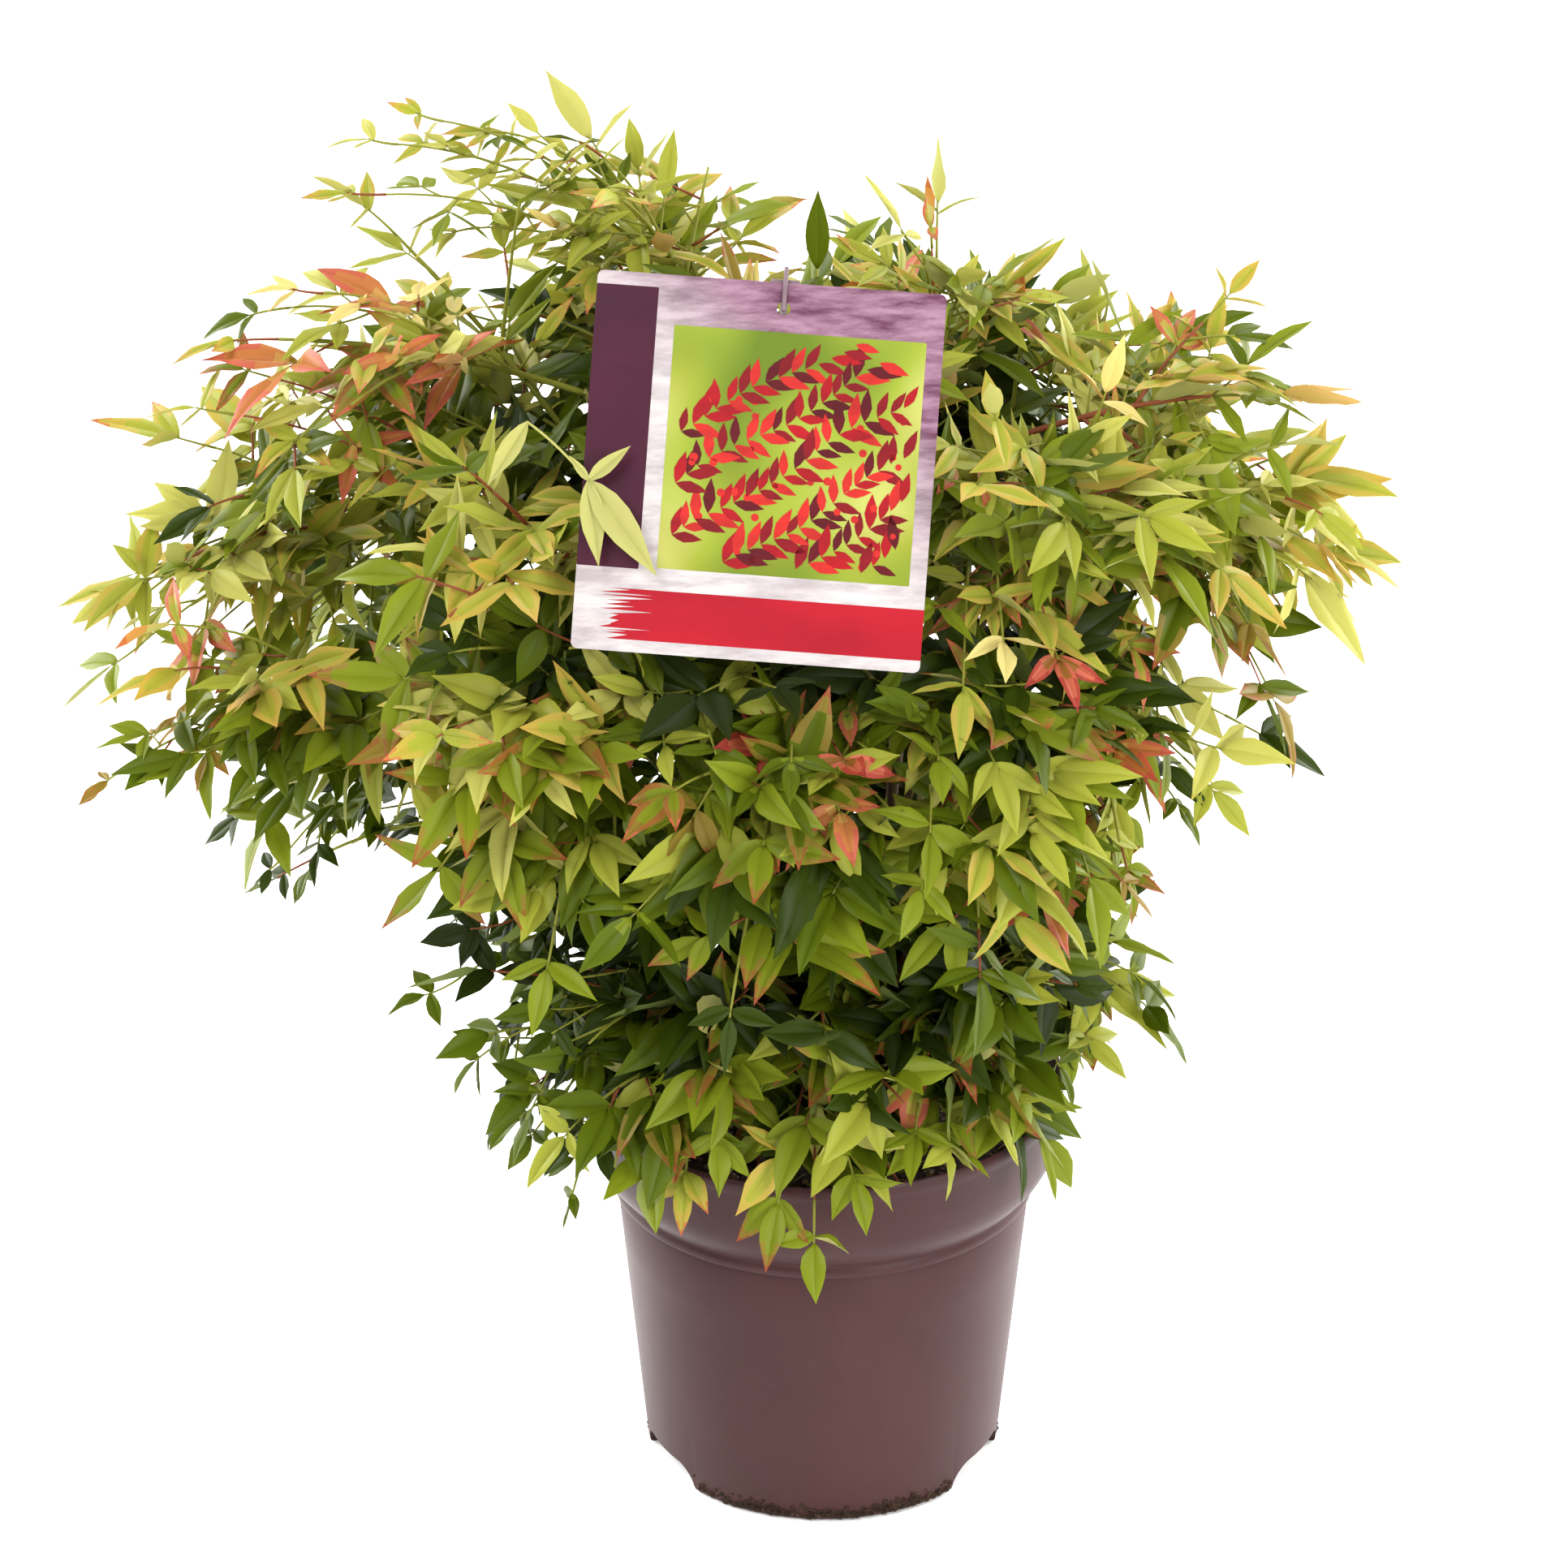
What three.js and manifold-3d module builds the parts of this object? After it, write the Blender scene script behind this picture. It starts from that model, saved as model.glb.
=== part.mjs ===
// A heavenly bamboo in its nursery container: a clump of bare canes in a filled pot, boughs that
// arch out of the canes, a spray of leaves on each bough and cane top, and a label on its holder.
// Millimetres, +Z up. The origin is the centre of the pot's flat underside. -Y is the front, +X the
// right-hand side, and azimuths run from +X towards +Y, so that 270 degrees is the front.
import * as THREE from "three";
import { mergeVertices } from "three/addons/utils/BufferGeometryUtils.js";
import Module from "manifold-3d";

const wasm = await Module();
wasm.setup();

// ---- driving dimensions ---------------------------------------------------------------------
const CLEAR = 0.32; // gap between two solids that touch in the real plant
const SEAT = 2; // a stem is drawn from this far inside its carrier, then cut back

const POT_HEIGHT = 207;
const POT_WALL = 1.8;
const POT_FLOOR = 3;
const POT_SIDES = 32;
const FOOT_RADIUS = 90; // the body's radius at the floor
const FOOT_BEVEL = 3;
const NECK_RADIUS = 104; // the body's radius under the collar
const COLLAR_FOOT = 150; // height at which the collar begins
const COLLAR_RIDGE = { out: 2.2, height: 4 }; // the thin ridge round the collar's foot
const COLLAR_FLARE = [
  // radius and height where the collar widens
  [112.4, 163.5],
  [117.2, 175],
];
const RIM_RADIUS = 120;
const RIM_EASE = 0.5;
const NOTCH_AZIMUTHS = [90, 207, 333]; // drainage notches in the foot
const NOTCH = { width: 52, height: 13, inner: 76, outer: 100, cap_rings: 3, sides: 10 };

const SOIL_TOP = 192;
const SOIL_GAP = 0.5;
const SOIL_EDGE = { width: 9, drop: 4 }; // the soil's top falls off to the wall

const CANE_RADIUS = { foot: 3.6, top: 2.4 };
const CANE_SIDES = 6;
const JOINT_SWELL = 1.16;
const CANE_JOINT = 70; // spacing of the swollen leaf joints along a cane
const CANE_UPRIGHT = 0.45; // a cane rises straight this far before it leans out, 0 to 1
const CANES = [
  // azimuth and radius at the soil, azimuth, radius and height at the top
  { foot: [150, 34], top: [166, 84, 478] },
  { foot: [100, 26], top: [118, 50, 528] },
  { foot: [20, 22], top: [22, 56, 512] },
  { foot: [52, 42], top: [58, 92, 474] },
  { foot: [255, 16], top: [262, 30, 492] },
  { foot: [318, 40], top: [322, 92, 436] },
  { foot: [214, 42], top: [212, 92, 436] },
];

const BOUGH_RADIUS = { foot: 2.1, top: 1.4 };
const BOUGH_SIDES = 5;
const BOUGH_STEPS = 4;
const BOUGH_ARCH = 0.14;
const ROOM_STEP = 6; // a limb that finds no room on its cane leaves it this much higher

// Each tier is a ring of sprays. A spray is [azimuth, reach and height of its furthest leaf tip,
// cane]. A crown spray stands on its cane's top. The others leave the cane at the tier's height:
// on a bough that ends at share root of the reach, or straight from the cane where root is 0.
const TIERS = [
  {
    name: "crown",
    arch: 0.1,
    droop: -0.1,
    leaf: 78,
    onTop: true,
    sprays: [
      [175, 238, 676, 0],
      [160, 134, 696, 1],
      [46, 76, 668, 2],
      [60, 156, 596, 3],
      [264, 44, 664, 4],
      [336, 152, 612, 5],
      [222, 236, 606, 6],
    ],
  },
  {
    name: "shoulder",
    arch: 0.12,
    droop: 0.1,
    leaf: 83,
    leaves: 400,
    root: 0.36,
    rise: -30,
    sprays: [
      [350, 242, 582, 2],
      [30, 238, 560, 3],
      [80, 236, 546, 1],
      [128, 254, 566, 1],
      [186, 316, 604, 0],
      [318, 228, 560, 5],
    ],
  },
  {
    name: "waist",
    arch: 0.12,
    droop: 0.3,
    leaf: 87,
    leaves: 318,
    root: 0.4,
    rise: 34,
    sprays: [
      [354, 272, 486, 2],
      [332, 246, 410, 5],
      [28, 262, 440, 3],
      [70, 268, 444, 3],
      [115, 284, 440, 1],
      [154, 316, 436, 0],
      [181, 372, 466, 0],
      [197, 350, 408, 0],
      [226, 276, 430, 6],
      [262, 250, 414, 4],
      [296, 244, 410, 5],
    ],
  },
  {
    name: "skirt",
    arch: 0.5,
    droop: 0.4,
    leaf: 71,
    leaves: 256,
    root: 0,
    sprays: [
      [354, 180, 262, 5],
      [60, 194, 250, 3],
      [120, 200, 250, 1],
      [178, 290, 292, 0],
      [198, 176, 168, 6],
      [238, 160, 196, 6],
      [268, 152, 156, 4],
      [308, 154, 214, 5],
    ],
  },
];

// The crown's outline, which no leaf or twig leaves: the top half of an egg over a cone that
// narrows by share taper for each radius below the centre.
const CROWN = { centre: [-45, 0, 385], radii: [342, 272, 345], taper: 0.64 };

// The rule by which a spray grows.
const SEED = 41;
const SHOOTS = 3;
const SHOOT_ZONE = [0.1, 0.78]; // where along its stem a spray's side shoots stand
const SHOOT_SPREAD = 50; // degrees between a side shoot and its stem
const SHOOT_LENGTH = { base: 0.62, fall: 0.34 }; // shares of the spray's length
const PAIRS = [0.4, 0.74]; // where along a shoot its pairs of leaves stand
const STEM_PAIRS = [0.62, 0.87];
const STAGGER = 0.05; // the second leaf of a pair stands this share further in
const LEAF_SPREAD = 52;
const END_LEAF = 0.75; // share of a leaf's length that a stem stops short of its spray's tip
const TRIES = 9; // a shoot or leaf that finds no room is turned and shortened, up to this often
const TURN_STEP = 0.4;
const SHORTER = 0.07;
const FIRST_SHOOT = 0.31; // where in its zone the first side shoot stands
const SHOOT_BEND = 0.55; // share of a shoot's length that it runs straight before it sags
const SHOOT_SAG = { base: 0.1, droop: 0.5 };
const END_DROOP = 0.2; // share of a tier's droop that an end leaf takes
const SIDE_DROOP = 0.7;
const LEAF_FALL = 0.25; // how much smaller leaves get towards the end of their shoot
const SPREADS = { turn: 0.7, shoot: 16, leaf: 20, roll: 0.8, size: 0.3, leaf_size: 0.2 };
const GOLDEN_TURN = THREE.MathUtils.degToRad(137.508);
const GOLDEN_STEP = 0.618034;
const TWIG_STEPS = { stem: 4, shoot: 2 };
const TWIG_RADIUS = { stem: 1.7, shoot: 1.4, tip: 1.1 };
const LEAF = { width: 0.42, widest: 0.42, rib: 0.3, thickness: 0.024, droop: 0.04, sink: 0.4 };
const SPACE_MARGIN = 0.8; // a leaf stays this far inside its spray's own space
const LIMB_MARGIN = 0.6; // and this far from canes, boughs and label
const LEAF_MARGIN = 0.3; // two leaves of one spray stay this far apart
const SLIVER = 0.02; // edges shorter than this are closed where leaves and twigs join

const LABEL = {
  width: 155,
  height: 168,
  thickness: 0.9,
  centre: [-31, -150, 588],
  lean: 25, // degrees back from upright
  roll: -4.2, // degrees, turned clockwise as seen from the front
  hole: [5.7, 72.6], // right and up of the label's centre
  hole_radius: 3,
};
const HOLDER = {
  width: 3,
  depth: 2.2,
  bar: [13, 2.6], // width and height of the cross bar behind the label's top edge
  prong: [2, 19.5, 1.6], // width, height and depth of the prong in front of the label
  head: 24, // how far the head reaches below the label's hole
  foot: [-38, -60],
  bow: 16, // how far the shaft bows back
  bow_share: 0.72,
  buried: 12,
  steps: 6,
};

// ---- small tools ------------------------------------------------------------------------------
const rad = THREE.MathUtils.degToRad;
const UP = new THREE.Vector3(0, 0, 1);
const BACK = new THREE.Vector3(0, 1, 0);
const UPRIGHT = 0.85; // a limb whose direction has more of Z than this counts as upright
const HALVINGS = 30; // steps of the search for a height along a cane
const STEM_SAMPLES = 5; // straight stretches that a stem's length is taken as
const SHOOT_SAMPLES = { from: 0.25, count: 6 }; // where a shoot is tested against its space

// Seeded random numbers from 0 to 1.
function randomFrom(seed) {
  let state = seed | 0;
  return () => {
    state = (state + 0x6d2b79f5) | 0;
    let t = Math.imul(state ^ (state >>> 15), 1 | state);
    t = (t + Math.imul(t ^ (t >>> 7), 61 | t)) ^ t;
    return ((t ^ (t >>> 14)) >>> 0) / 4294967296;
  };
}

// A seeded random number from -0.5 to 0.5.
const either = (random) => random() - 0.5;

function polar(azimuth, radius, height) {
  const a = rad(azimuth);
  return new THREE.Vector3(radius * Math.cos(a), radius * Math.sin(a), height);
}

function solidOf(geometry) {
  const bare = new THREE.BufferGeometry().setAttribute("position", geometry.getAttribute("position"));
  if (geometry.index) bare.setIndex(geometry.index);
  const merged = mergeVertices(bare, 1e-4);
  return new wasm.Manifold(
    new wasm.Mesh({
      numProp: 3,
      vertProperties: new Float32Array(merged.attributes.position.array),
      triVerts: new Uint32Array(merged.index.array),
    }),
  );
}

function geometryOf(solid) {
  const mesh = solid.getMesh();
  const points = new Float32Array(mesh.numVert * 3);
  for (let i = 0; i < mesh.numVert; i++) {
    points.set(mesh.vertProperties.subarray(i * mesh.numProp, i * mesh.numProp + 3), i * 3);
  }
  return new THREE.BufferGeometry()
    .setAttribute("position", new THREE.BufferAttribute(points, 3))
    .setIndex(new THREE.BufferAttribute(new Uint32Array(mesh.triVerts), 1));
}

// The largest body of a solid: loose scraps and sealed hollows go.
function largestBody(solid) {
  return solid.decompose().reduce((best, body) => (body.volume() > best.volume() ? body : best));
}

// A closed tapering tube with flat ends along a curve. radiusAt(share) gives its radius. One of its
// corners faces up, or back where the limb is upright.
function limb(curve, steps, sides, radiusAt) {
  const chord = curve.getPoint(1).sub(curve.getPoint(0)).normalize();
  const reference = Math.abs(chord.z) > UPRIGHT ? BACK : UP;
  const points = [];
  for (let i = 0; i <= steps; i++) {
    const centre = curve.getPointAt(i / steps);
    const along = curve.getTangentAt(i / steps);
    const across = new THREE.Vector3().crossVectors(along, reference).normalize();
    const out = new THREE.Vector3().crossVectors(across, along);
    for (let j = 0; j < sides; j++) {
      const a = (2 * Math.PI * j) / sides;
      const r = radiusAt(i / steps);
      points.push(
        centre
          .clone()
          .addScaledVector(out, r * Math.cos(a))
          .addScaledVector(across, r * Math.sin(a)),
      );
    }
  }
  const faces = [];
  for (let i = 0; i < steps; i++) {
    for (let j = 0; j < sides; j++) {
      const a = i * sides + j;
      const b = i * sides + ((j + 1) % sides);
      faces.push(a, b, b + sides, a, b + sides, a + sides);
    }
  }
  const last = steps * sides;
  for (let j = 1; j < sides - 1; j++) {
    faces.push(0, j + 1, j, last, last + j, last + j + 1);
  }
  const geometry = new THREE.BufferGeometry().setFromPoints(points).setIndex(faces);
  const solid = solidOf(geometry);
  return solid.volume() > 0 ? solid : solidOf(geometry.setIndex([...faces].reverse()));
}

// The point and heading at a share of the way along the straight stretches that a limb is made of.
function onLimb(curve, steps, share) {
  const step = Math.min(Math.floor(share * steps), steps - 1);
  const from = curve.getPointAt(step / steps);
  const to = curve.getPointAt((step + 1) / steps);
  return { base: from.clone().lerp(to, share * steps - step), along: to.sub(from).normalize() };
}

const taper = (ends) => (share) => THREE.MathUtils.lerp(ends.foot, ends.top, share);

// An arch from one point to another that bulges upwards by a share of its span.
function archBetween(from, to, arch) {
  const middle = from
    .clone()
    .add(to)
    .multiplyScalar(0.5)
    .addScaledVector(UP, arch * from.distanceTo(to));
  return new THREE.QuadraticBezierCurve3(from, middle, to);
}

// The stretch of a quadratic curve from its start to the share given.
function firstPart(curve, share) {
  const middle = curve.v0.clone().lerp(curve.v1, share);
  return new THREE.QuadraticBezierCurve3(curve.v0, middle, curve.getPoint(share));
}

// ---- pot and soil -----------------------------------------------------------------------------
// Outer wall of the pot from foot to rim, as radius and height.
const OUTER_WALL = [
  [FOOT_RADIUS - FOOT_BEVEL, 0],
  [FOOT_RADIUS, FOOT_BEVEL],
  [NECK_RADIUS, COLLAR_FOOT - 1],
  [NECK_RADIUS + COLLAR_RIDGE.out - RIM_EASE, COLLAR_FOOT],
  [NECK_RADIUS + COLLAR_RIDGE.out, COLLAR_FOOT + COLLAR_RIDGE.height],
  ...COLLAR_FLARE,
  [RIM_RADIUS, POT_HEIGHT - 3 * RIM_EASE],
  [RIM_RADIUS - RIM_EASE, POT_HEIGHT],
];

// Inner face of the wall, from the floor up to the rim.
const INNER_WALL = [
  [FOOT_RADIUS - POT_WALL - FOOT_BEVEL, POT_FLOOR],
  [FOOT_RADIUS - POT_WALL, POT_FLOOR + FOOT_BEVEL],
  [NECK_RADIUS - POT_WALL, COLLAR_FOOT],
  ...COLLAR_FLARE.map(([radius, height]) => [radius - POT_WALL, height]),
  [RIM_RADIUS - POT_WALL - RIM_EASE, POT_HEIGHT],
];

// A solid turned about Z from its wall, which runs outwards at its foot and inwards at its top.
function turned(wall) {
  const top = wall[wall.length - 1][1];
  const profile = [[0, wall[0][1]], ...wall, [0, top]];
  const points = profile.map(([radius, height]) => new THREE.Vector2(radius, height));
  points.push(points[0].clone());
  return solidOf(new THREE.LatheGeometry(points, POT_SIDES).rotateX(Math.PI / 2));
}

function notchCutter(azimuth) {
  const { width, height, inner, outer, cap_rings, sides } = NOTCH;
  const cutter = new THREE.CapsuleGeometry(height, width - 2 * height, cap_rings, sides);
  cutter.scale((outer - inner) / (2 * height), 1, 1);
  cutter.translate((inner + outer) / 2, 0, 0).rotateZ(rad(azimuth));
  return solidOf(cutter);
}

function makePot() {
  const full = turned([...OUTER_WALL, ...[...INNER_WALL].reverse()]);
  return largestBody(NOTCH_AZIMUTHS.map(notchCutter).reduce((pot, cutter) => pot.subtract(cutter), full));
}

function makeSoil() {
  const side = INNER_WALL.filter(([, height]) => height < SOIL_TOP).map(([radius, height]) => [
    radius - SOIL_GAP,
    height,
  ]);
  side[0][1] += CLEAR;
  const [topRadius] = side[side.length - 1];
  return turned([
    ...side,
    [topRadius, SOIL_TOP - SOIL_EDGE.drop],
    [topRadius - SOIL_EDGE.width, SOIL_TOP],
  ]);
}

// ---- canes and boughs -------------------------------------------------------------------------
function caneCurve({ foot, top }) {
  const from = polar(...foot, SOIL_TOP + CLEAR);
  const to = polar(...top);
  const straightUp = new THREE.Vector3(from.x, from.y, (from.z + to.z) / 2);
  const middle = from.clone().lerp(to, 0.5).lerp(straightUp, CANE_UPRIGHT);
  return new THREE.QuadraticBezierCurve3(from, middle, to);
}

// The joints swell the cane a little, like the old leaf bases round a real one, and its foot is cut
// flat at the soil. extra makes it thicker all round.
function makeCane(curve, extra = 0) {
  const steps = 2 * Math.round(curve.getLength() / CANE_JOINT);
  const body = limb(curve, steps, CANE_SIDES, (share) => {
    const swell = Math.round(share * steps) % 2 ? JOINT_SWELL : 1;
    return taper(CANE_RADIUS)(share) * swell + extra;
  });
  return body.trimByPlane([0, 0, 1], SOIL_TOP + CLEAR);
}

function pointAtHeight(curve, height) {
  let low = 0;
  let high = 1;
  for (let i = 0; i < HALVINGS; i++) {
    const middle = (low + high) / 2;
    if (curve.getPointAt(middle).z < height) low = middle;
    else high = middle;
  }
  return curve.getPointAt(low);
}

// ---- sprays -----------------------------------------------------------------------------------
// A leaf: a kite with a raised midrib and a drooping tip, whose pointed root is sunk in its twig.
// Its points are the root, the two sides, the rib's peak and the tip.
const LEAF_FACES = [
  [0, 2, 3],
  [0, 3, 1],
  [0, 1, 2],
  [4, 3, 2],
  [4, 1, 3],
  [4, 2, 1],
];

function makeLeaf(base, heading, normal, length) {
  const side = heading.clone().cross(normal).normalize();
  const face = side.clone().cross(heading).normalize();
  const at = (along, across, up) =>
    base.clone().addScaledVector(heading, along).addScaledVector(side, across).addScaledVector(face, up);
  const half = (LEAF.width * length) / 2;
  const points = [
    at(-LEAF.sink, 0, 0),
    at(LEAF.widest * length, -half, 0),
    at(LEAF.widest * length, half, 0),
    at(LEAF.rib * length, 0, LEAF.thickness * length),
    at(length, 0, -LEAF.droop * length),
  ];
  const geometry = new THREE.BufferGeometry().setFromPoints(points);
  return { points, solid: solidOf(geometry.setIndex(LEAF_FACES.flat())) };
}

// One side shoot of a spray, the kth from its foot. They leave the stem by the golden angle. Each
// further try turns the shoot round the stem and shortens it.
function shootOf(plan, k, attempt) {
  const random = randomFrom(SEED + plan.seed * 101 + k * 7);
  const share = THREE.MathUtils.lerp(...SHOOT_ZONE, (FIRST_SHOOT + k * GOLDEN_STEP) % 1);
  const { base, along } = onLimb(plan.stem, TWIG_STEPS.stem, share);
  const roll = k * GOLDEN_TURN + plan.seed + SPREADS.turn * either(random) + attempt * TURN_STEP;
  const side = new THREE.Vector3().crossVectors(along, UP).normalize().applyAxisAngle(along, roll);
  const spread = rad(SHOOT_SPREAD + SPREADS.shoot * either(random));
  const heading = along.clone().multiplyScalar(Math.cos(spread)).addScaledVector(side, Math.sin(spread));
  const shareOfSpan = SHOOT_LENGTH.base - SHOOT_LENGTH.fall * share;
  const full = plan.span * shareOfSpan * (1 + SPREADS.size * either(random));
  const length = full * (1 - attempt * SHORTER);
  const bend = base.clone().addScaledVector(heading, SHOOT_BEND * length);
  const sag = SHOOT_SAG.base + SHOOT_SAG.droop * Math.max(0, plan.droop);
  const end = base.clone().addScaledVector(heading, length).addScaledVector(UP, -sag * length);
  return {
    curve: new THREE.QuadraticBezierCurve3(base, bend, end),
    steps: TWIG_STEPS.shoot,
    pairs: PAIRS,
    leaf: plan.leaf * (1 + SPREADS.leaf_size * either(random)),
  };
}

// Where the leaves of one shoot stand: one at its end and pairs along it, the outermost first.
function leafPlaces(shoot, droop, random) {
  const stand = (share, sign) => {
    const { base, along } = onLimb(shoot.curve, shoot.steps, share);
    const level = UP.clone().addScaledVector(along, -UP.dot(along)).normalize();
    const normal = level.applyAxisAngle(along, SPREADS.roll * either(random));
    const side = new THREE.Vector3().crossVectors(along, normal);
    const spread = sign * rad(LEAF_SPREAD + SPREADS.leaf * either(random));
    const fall = droop * (sign ? SIDE_DROOP : END_DROOP) * (1 + SPREADS.size * either(random));
    const heading = along
      .clone()
      .multiplyScalar(Math.cos(spread))
      .addScaledVector(side, Math.sin(spread))
      .addScaledVector(UP, -fall)
      .normalize();
    const size = shoot.leaf * (1 - LEAF_FALL * (share - 0.25)) * (1 + SPREADS.size * either(random));
    return { base, along, normal, heading, size };
  };
  const pair = (share) => [stand(share, 1), stand(share - STAGGER, -1)];
  return [stand(1, 0), ...[...shoot.pairs].reverse().flatMap(pair)];
}

// How far a point is from a stem, which is taken as a chain of short straight stretches.
function distanceToStem(point, chain) {
  const nearest = new THREE.Vector3();
  const distances = chain.slice(1).map((end, i) => {
    const stretch = new THREE.Line3(chain[i], end);
    return stretch.closestPointToPoint(point, true, nearest).distanceTo(point);
  });
  return Math.min(...distances);
}

function inCrown(point) {
  const [x, y, z] = point.toArray().map((value, i) => (value - CROWN.centre[i]) / CROWN.radii[i]);
  return z > 0 ? Math.hypot(x, y, z) < 1 : Math.hypot(x, y) < 1 + CROWN.taper * z;
}

// A spray's space is the part of the crown where its own stem is nearer than any other spray's.
function inOwnSpace(points, plan, plans) {
  return points.every((point) => {
    if (!inCrown(point)) return false;
    const nearest = distanceToStem(point, plan.chain) + 2 * SPACE_MARGIN;
    return plans.every((other) => other === plan || distanceToStem(point, other.chain) > nearest);
  });
}

function boxesMeet(a, b, margin) {
  return [0, 1, 2].every((i) => a.min[i] - margin < b.max[i] && b.min[i] - margin < a.max[i]);
}

function clearOf(piece, others, margin) {
  return others
    .filter((other) => boxesMeet(piece.box, other.box, margin))
    .every((other) => piece.solid.minGap(other.solid, 2 * margin) > margin);
}

const boxed = (solid, more = {}) => ({ solid, box: solid.boundingBox(), ...more });

function samplesOn(curve, { from = 0, count }) {
  return Array.from({ length: count + 1 }, (_, i) => curve.getPoint(from + ((1 - from) * i) / count));
}

// The twigs of a spray, its stem first. A shoot that finds no room in its tries is left out.
function growTwigs(plan, plans, obstacles) {
  const shootEnds = { foot: TWIG_RADIUS.shoot, top: TWIG_RADIUS.tip };
  const twigs = [
    { ...plan.stemBody, curve: plan.stem, steps: TWIG_STEPS.stem, pairs: STEM_PAIRS, leaf: plan.leaf },
  ];
  for (let k = 0; k < SHOOTS; k++) {
    for (let attempt = 0; attempt < TRIES; attempt++) {
      const shoot = shootOf(plan, k, attempt);
      if (!inOwnSpace(samplesOn(shoot.curve, SHOOT_SAMPLES), plan, plans)) continue;
      const twig = boxed(limb(shoot.curve, shoot.steps, 3, taper(shootEnds)), shoot);
      if (!clearOf(twig, obstacles, LIMB_MARGIN)) continue;
      twigs.push(twig);
      break;
    }
  }
  return twigs;
}

// The leaves of a spray. Each keeps to the spray's space, off the limbs and off the other leaves.
function growLeaves(plan, plans, twigs, obstacles) {
  const leaves = [];
  twigs.forEach((twig, k) => {
    const random = randomFrom(SEED * 31 + plan.seed * 57 + k * 11);
    const neighbours = twigs.filter((other) => other !== twig);
    for (const place of leafPlaces(twig, plan.droop, random)) {
      for (let attempt = 0; attempt < TRIES; attempt++) {
        const turn = (attempt % 2 ? 1 : -1) * Math.ceil(attempt / 2) * TURN_STEP;
        const heading = place.heading.clone().applyAxisAngle(place.along, turn);
        const normal = place.normal.clone().applyAxisAngle(place.along, turn);
        const size = place.size * (1 - attempt * SHORTER);
        const { points, solid } = makeLeaf(place.base, heading, normal, size);
        const leaf = boxed(solid);
        if (!inOwnSpace(points, plan, plans)) continue;
        if (!clearOf(leaf, obstacles, LIMB_MARGIN)) continue;
        if (!clearOf(leaf, [...leaves, ...neighbours], LEAF_MARGIN)) continue;
        leaves.push(leaf);
        break;
      }
    }
  });
  return leaves;
}

function makeSpray(plan, plans, obstacles) {
  const twigs = growTwigs(plan, plans, obstacles);
  const leaves = growLeaves(plan, plans, twigs, obstacles);
  const joined = wasm.Manifold.union([...twigs, ...leaves].map(({ solid }) => solid));
  return largestBody(joined.simplify(SLIVER));
}

// ---- label ------------------------------------------------------------------------------------
// Turns a shape made flat in the label's own frame, right and up of its centre, into its place.
function placeOnLabel(geometry) {
  return geometry
    .rotateZ(rad(LABEL.roll))
    .rotateX(rad(90 - LABEL.lean))
    .translate(...LABEL.centre);
}

function labelPoint(right, up, front) {
  const geometry = new THREE.BufferGeometry().setFromPoints([new THREE.Vector3(right, up, front)]);
  placeOnLabel(geometry);
  return new THREE.Vector3().fromBufferAttribute(geometry.getAttribute("position"), 0);
}

function makeLabel() {
  const { width, height, thickness, hole, hole_radius } = LABEL;
  const outline = new THREE.Shape([
    new THREE.Vector2(-width / 2, -height / 2),
    new THREE.Vector2(width / 2, -height / 2),
    new THREE.Vector2(width / 2, height / 2),
    new THREE.Vector2(-width / 2, height / 2),
  ]);
  outline.holes.push(new THREE.Path().absarc(hole[0], hole[1], hole_radius, 0, 2 * Math.PI, true));
  const extrusion = { depth: thickness, bevelEnabled: false, curveSegments: 8 };
  const card = new THREE.ExtrudeGeometry(outline, extrusion);
  return solidOf(placeOnLabel(card.translate(0, 0, -thickness / 2)));
}

// The label's holder stands in the soil behind it. Its head is a bar behind the label's top edge,
// and a prong that comes through the label's hole and turns up in front of it.
function makeHolder() {
  const { width, depth, bar, prong, head, foot, bow, bow_share, buried, steps } = HOLDER;
  const [right, up] = LABEL.hole;
  const back = -LABEL.thickness / 2 - CLEAR - depth;
  const front = LABEL.thickness / 2 + CLEAR;
  const topEdge = LABEL.height / 2;
  const block = (w, h, d, x, y, z) => {
    const box = new THREE.BoxGeometry(w, h, d).translate(x, y + h / 2, z + d / 2);
    return solidOf(placeOnLabel(box));
  };
  const headFoot = up - head;
  const [prongWidth, prongHeight, prongDepth] = prong;
  const prongFoot = up - prongWidth / 2;
  const parts = [
    block(width, topEdge - headFoot, depth, right, headFoot, back),
    block(bar[0], bar[1], depth, right, topEdge - 1, back),
    block(prongWidth, prongWidth, front - back, right, prongFoot, back),
    block(prongWidth, prongHeight, prongDepth, right, prongFoot, front),
  ];
  const top = labelPoint(right, headFoot + width, back + depth / 2);
  const bottom = new THREE.Vector3(foot[0], foot[1], SOIL_TOP - buried);
  const middle = bottom.clone().lerp(top, bow_share).addScaledVector(BACK, bow);
  const shaft = new THREE.QuadraticBezierCurve3(bottom, middle, top);
  const rod = limb(shaft, steps, 4, () => width / 2);
  parts.push(rod.trimByPlane([0, 0, 1], SOIL_TOP + CLEAR));
  return largestBody(wasm.Manifold.union(parts));
}

// ---- the whole plant --------------------------------------------------------------------------
const COLOURS = {
  pot: [0x5f4344, 0.55],
  soil: [0x2a1d15, 0.95],
  cane: [0x6d5a3a, 0.7],
  bough: [0x7d8a45, 0.6],
  foliage: [0x6f9a35, 0.5],
  label: [0xe6e0dc, 0.45],
  holder: [0x6c5557, 0.5],
};
const plant = new THREE.Group();

function addMesh(name, solid, kind) {
  const [color, roughness] = COLOURS[kind];
  const material = new THREE.MeshStandardMaterial({ color, roughness, metalness: 0 });
  const mesh = new THREE.Mesh(geometryOf(solid), material);
  mesh.name = name;
  plant.add(mesh);
}

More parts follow.
